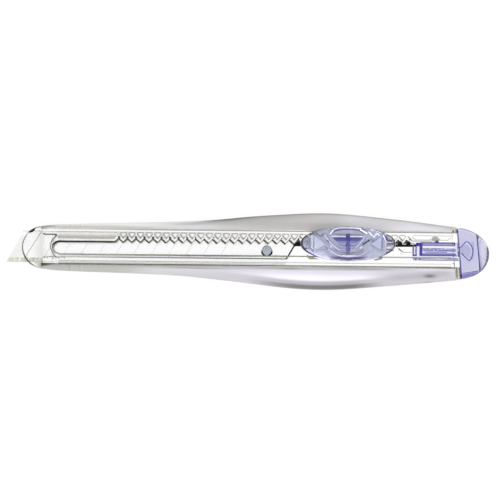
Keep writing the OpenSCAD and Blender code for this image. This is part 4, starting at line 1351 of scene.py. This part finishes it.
def make_slider_marks():
    """Painted shade in the recesses round the pin, and small marks on the carriage, which ride with the
    slider.
    """
    lines = Lines()
    # painted shade: dark arcs in the recesses round the pin
    for start, end, dark in ((176, 244, (34, 40, 32)), (296, 364, (8, 10, 8))):
        arc = [radians(start + (end - start) * i / 10) for i in range(11)]
        widths = [0.1 + 0.36 * sin(pi * (i + 0.6) / 11.2) ** 0.7 for i in range(11)]
        recess = []
        for a, w in zip(arc, widths):
            r = 1.26 + w / 2
            recess.append((PIN_X + r * cos(a), max(PIN_Y - AXIS + r * sin(a), -1.93)))
        lines.line(recess, widths, PIN_HIGH.z + 0.06, dark, 0.05)
    lines.line(circle(0.5, 24, PIN_X - 0.15, 1.35), 0.12, BLADE_HIGH.z + 0.03, 232, 0.04, closed=True)
    end, top = SPRING_HIGH.x, 4.5
    lines.line([(end - 5.0, 0.3), (end - 4.1, -0.45), (end - 3.6, -0.72), (end - 1.2, -0.74)],
               [0.4, 0.34, 0.24, 0.2], top, [130, 150, 178, 196])
    for points, width, tone in (([(end - 6.5, 1.56), (end - 1.6, 1.56)], 0.18, 238),
                                ([(end - 7.0, -0.05), (end - 6.3, -0.45)], 0.26, 176),
                                ([(end - 4.5, -1.1), (end - 3.9, -1.35)], 0.22, 214)):
        lines.line(points, width, top, tone)
    return lines.finish("slider_marks", "slider")


def make_blade():
    """The scored blade. Its ground bevel, score lines and sides take their own materials; the score lines at
    the bare end take a darker copy, painted shade in the grooves.
    """
    bm = carried("blade")
    for v in bm.verts:
        if v.co.y < BEVEL_Y - 0.3:
            v.co.z += 0.25
    cut_at_window(bm)

    def in_score(c):
        return BLADE_LOW.z + 0.2 < c.z < BLADE_HIGH.z - 0.01 and c.y > BEVEL_Y + 0.02

    def on_bevel(c, n):
        return c.y < BEVEL_Y + 0.02 and n.z > 0.3

    mats = [STEEL, SCORE, GROUND, SCORE_DARK, HONED, BLADE_WALL]
    paint(bm, mats.index(SCORE), lambda c, n: in_score(c) and c.x < BLADE_HIGH.x - 2)
    paint(bm, mats.index(SCORE_DARK), lambda c, n: in_score(c) and c.x < WINDOW_X + 1)
    paint(bm, mats.index(GROUND), lambda c, n: on_bevel(c, n) and c.x < WINDOW_X)
    paint(bm, mats.index(HONED), lambda c, n: on_bevel(c, n) and c.x > WINDOW_X)
    paint(bm, mats.index(BLADE_WALL), lambda c, n: abs(n.z) < 0.2 or n.z < -0.5)
    return mesh_object(bm, "scored_blade", "slider", mats, ["blade"], sharp=3)


def make_blade_lines():
    """Painted dark lines on the top of the bevel and the cut tail, where they look dark under the clear
    plastic, and painted lines along the blade's two edges.
    """
    lines = Lines()
    top, tail = BLADE_HIGH.z + 0.02, BLADE_LOW.x + 80
    lean = 1 / tan(radians(60))
    run = [(WINDOW_X + 0.2, 214), (SLOT_X + 3, 205), (-44, 176), (-36, 138), (-24, 126), (-12, 96), (6, 96),
           (tail, 104)]
    lines.line([(x, -3.0) for x, tone in run], 0.32, top, [tone for x, tone in run], 0.03)
    # painted shadow along the cut tail and at its corner
    lines.line([(tail + 0.45, -2.95), (tail + 4.3 * lean + 0.45, 1.35)], 0.42, top + 0.01, (24, 27, 22), 0.03)
    corner = [(tail - 0.15, -3.12), (tail + 0.55, -3.12), (tail + 0.95, -2.5), (tail + 0.45, -2.5)]
    lines.patch(corner, top + 0.02, (30, 34, 28), 0.04)
    back = [(BLADE_LOW.x + 4.6 + i * 3, BLADE_HIGH.y - AXIS - 0.1) for i in range(25)]
    lines.line(back, 0.16, top, 208, 0.03)
    edge = [(BLADE_LOW.x + 0.4, 222), (BLADE_LOW.x + 4, 214), (NOSE_X + 3, 196), (WINDOW_X, 186),
            (WINDOW_X + 1, 212), (-30, 212), (-10, 212), (tail, 212)]
    lines.line([(x, BLADE_LOW.y - AXIS + 0.14) for x, tone in edge], 0.16, BLADE_LOW.z + 0.47,
               [tone for x, tone in edge], 0.03)
    return lines.finish("blade_lines", "slider")


# ---- stage ----
def ray_kind(owner, *kinds):
    """One socket that is 1 for any of some kinds of Light Path's rays."""
    path = node(owner, "ShaderNodeLightPath")
    socket = path.outputs[kinds[0]]
    for kind in kinds[1:]:
        either = node(owner, "ShaderNodeMath", operation="MAXIMUM")
        join(owner, either, socket, path.outputs[kind])
        socket = either.outputs[0]
    return socket


def join(owner, into, *sockets):
    """Links sockets to a node's first inputs and returns the node's output."""
    for socket, place in zip(sockets, into.inputs):
        owner.node_tree.links.new(socket, place)
    return into.outputs[0]


def emptied(owner):
    """Clears a material or a world of its nodes."""
    owner.use_nodes = True
    owner.node_tree.nodes.clear()
    return owner


def make_floor():
    """A white floor that keeps the object's shadow, and shows white through clear plastic too."""
    bm = bmesh.new()
    bmesh.ops.create_grid(bm, x_segments=1, y_segments=1, size=0.6)
    floor = add_object(bm, "floor", 1)
    floor.location.z = -0.0002
    mat = emptied(bpy.data.materials.new("floor_white"))

    def emission(strength):
        return node(mat, "ShaderNodeEmission", [("Strength", strength)]).outputs[0]

    def diffuse(grey):
        return node(mat, "ShaderNodeBsdfDiffuse", [("Color", (grey, grey, grey, 1))]).outputs[0]

    seen = join(mat, node(mat, "ShaderNodeAddShader"), emission(0.86), diffuse(0.16))
    rays = ray_kind(mat, "Is Transmission Ray", "Is Glossy Ray")
    through = join(mat, node(mat, "ShaderNodeMixShader"), rays, diffuse(0.85), emission(1.0))
    both = join(mat, node(mat, "ShaderNodeMixShader"), ray_kind(mat, "Is Camera Ray"), through, seen)
    mat.node_tree.links.new(both, node(mat, "ShaderNodeOutputMaterial").inputs["Surface"])
    floor.data.materials.append(mat)


def make_world():
    """A soft bright sky that darkens to the horizon, white to the camera."""
    world = emptied(bpy.data.worlds.new("studio"))
    bpy.context.scene.world = world
    split = node(world, "ShaderNodeSeparateXYZ")
    link(world, node(world, "ShaderNodeTexCoord"), "Generated", split, "Vector")
    grade = ramp(world, split, "Z", [(0.0, (0.1, 0.1, 0.11)), (0.22, (0.45, 0.45, 0.47)), (0.5, 1)])
    sky = node(world, "ShaderNodeBackground")
    shown = node(world, "ShaderNodeBackground", [("Color", (1, 1, 1, 1))])
    link(world, grade, "Color", sky, "Color")
    both = join(world, node(world, "ShaderNodeMixShader"), ray_kind(world, "Is Camera Ray"), sky.outputs[0],
                shown.outputs[0])
    world.node_tree.links.new(both, node(world, "ShaderNodeOutputWorld").inputs["Surface"])


def make_lamp(name, place, size, watts):
    """A square lamp that points at the object."""
    lamp = bpy.data.lights.new(name, "AREA")
    lamp.energy = watts
    lamp.shape = "RECTANGLE"
    lamp.size, lamp.size_y = size
    ob = bpy.data.objects.new(name, lamp)
    ob.location = place
    ob.rotation_euler = Vector(place).to_track_quat("Z", "Y").to_euler()
    ob.visible_glossy = False  # no glare that would bleach the bare blade
    bpy.context.scene.collection.objects.link(ob)


def make_camera():
    """Straight above the knife, turned a little so that the cap end hangs lower."""
    lens, sensor, width = 300, 36, 0.14327
    cam = bpy.data.cameras.new("camera")
    cam.lens, cam.sensor_width = lens, sensor
    ob = bpy.data.objects.new("camera", cam)
    ob.location = (0.00064, 0.00023, width * lens / sensor + 0.005)
    ob.rotation_euler = (0, 0, radians(0.6))
    bpy.context.scene.collection.objects.link(ob)
    bpy.context.scene.camera = ob


# ---- build ----
make_camera()
make_world()
make_floor()
make_lamp("key", (-0.15, -0.35, 0.32), (0.3, 0.2), 0.8)
make_lamp("fill", (0.2, 0.3, 0.45), (0.4, 0.3), 0.8)
for make_piece in (make_sheath, make_sheath_lines, make_rack_lines_and_reflections, make_grip, make_knob, make_knob_mould,
                   make_cap, make_cap_lines, make_latch, make_latch_lines, make_blade, make_blade_lines,
                   make_pin, make_slider_marks, make_base, make_carriage, make_spring):
    make_piece()

scene = bpy.context.scene
scene.view_settings.view_transform = "Standard"
scene.cycles.use_denoising = True
scene.cycles.max_bounces = 24
scene.cycles.transmission_bounces = 20
scene.cycles.transparent_max_bounces = 16
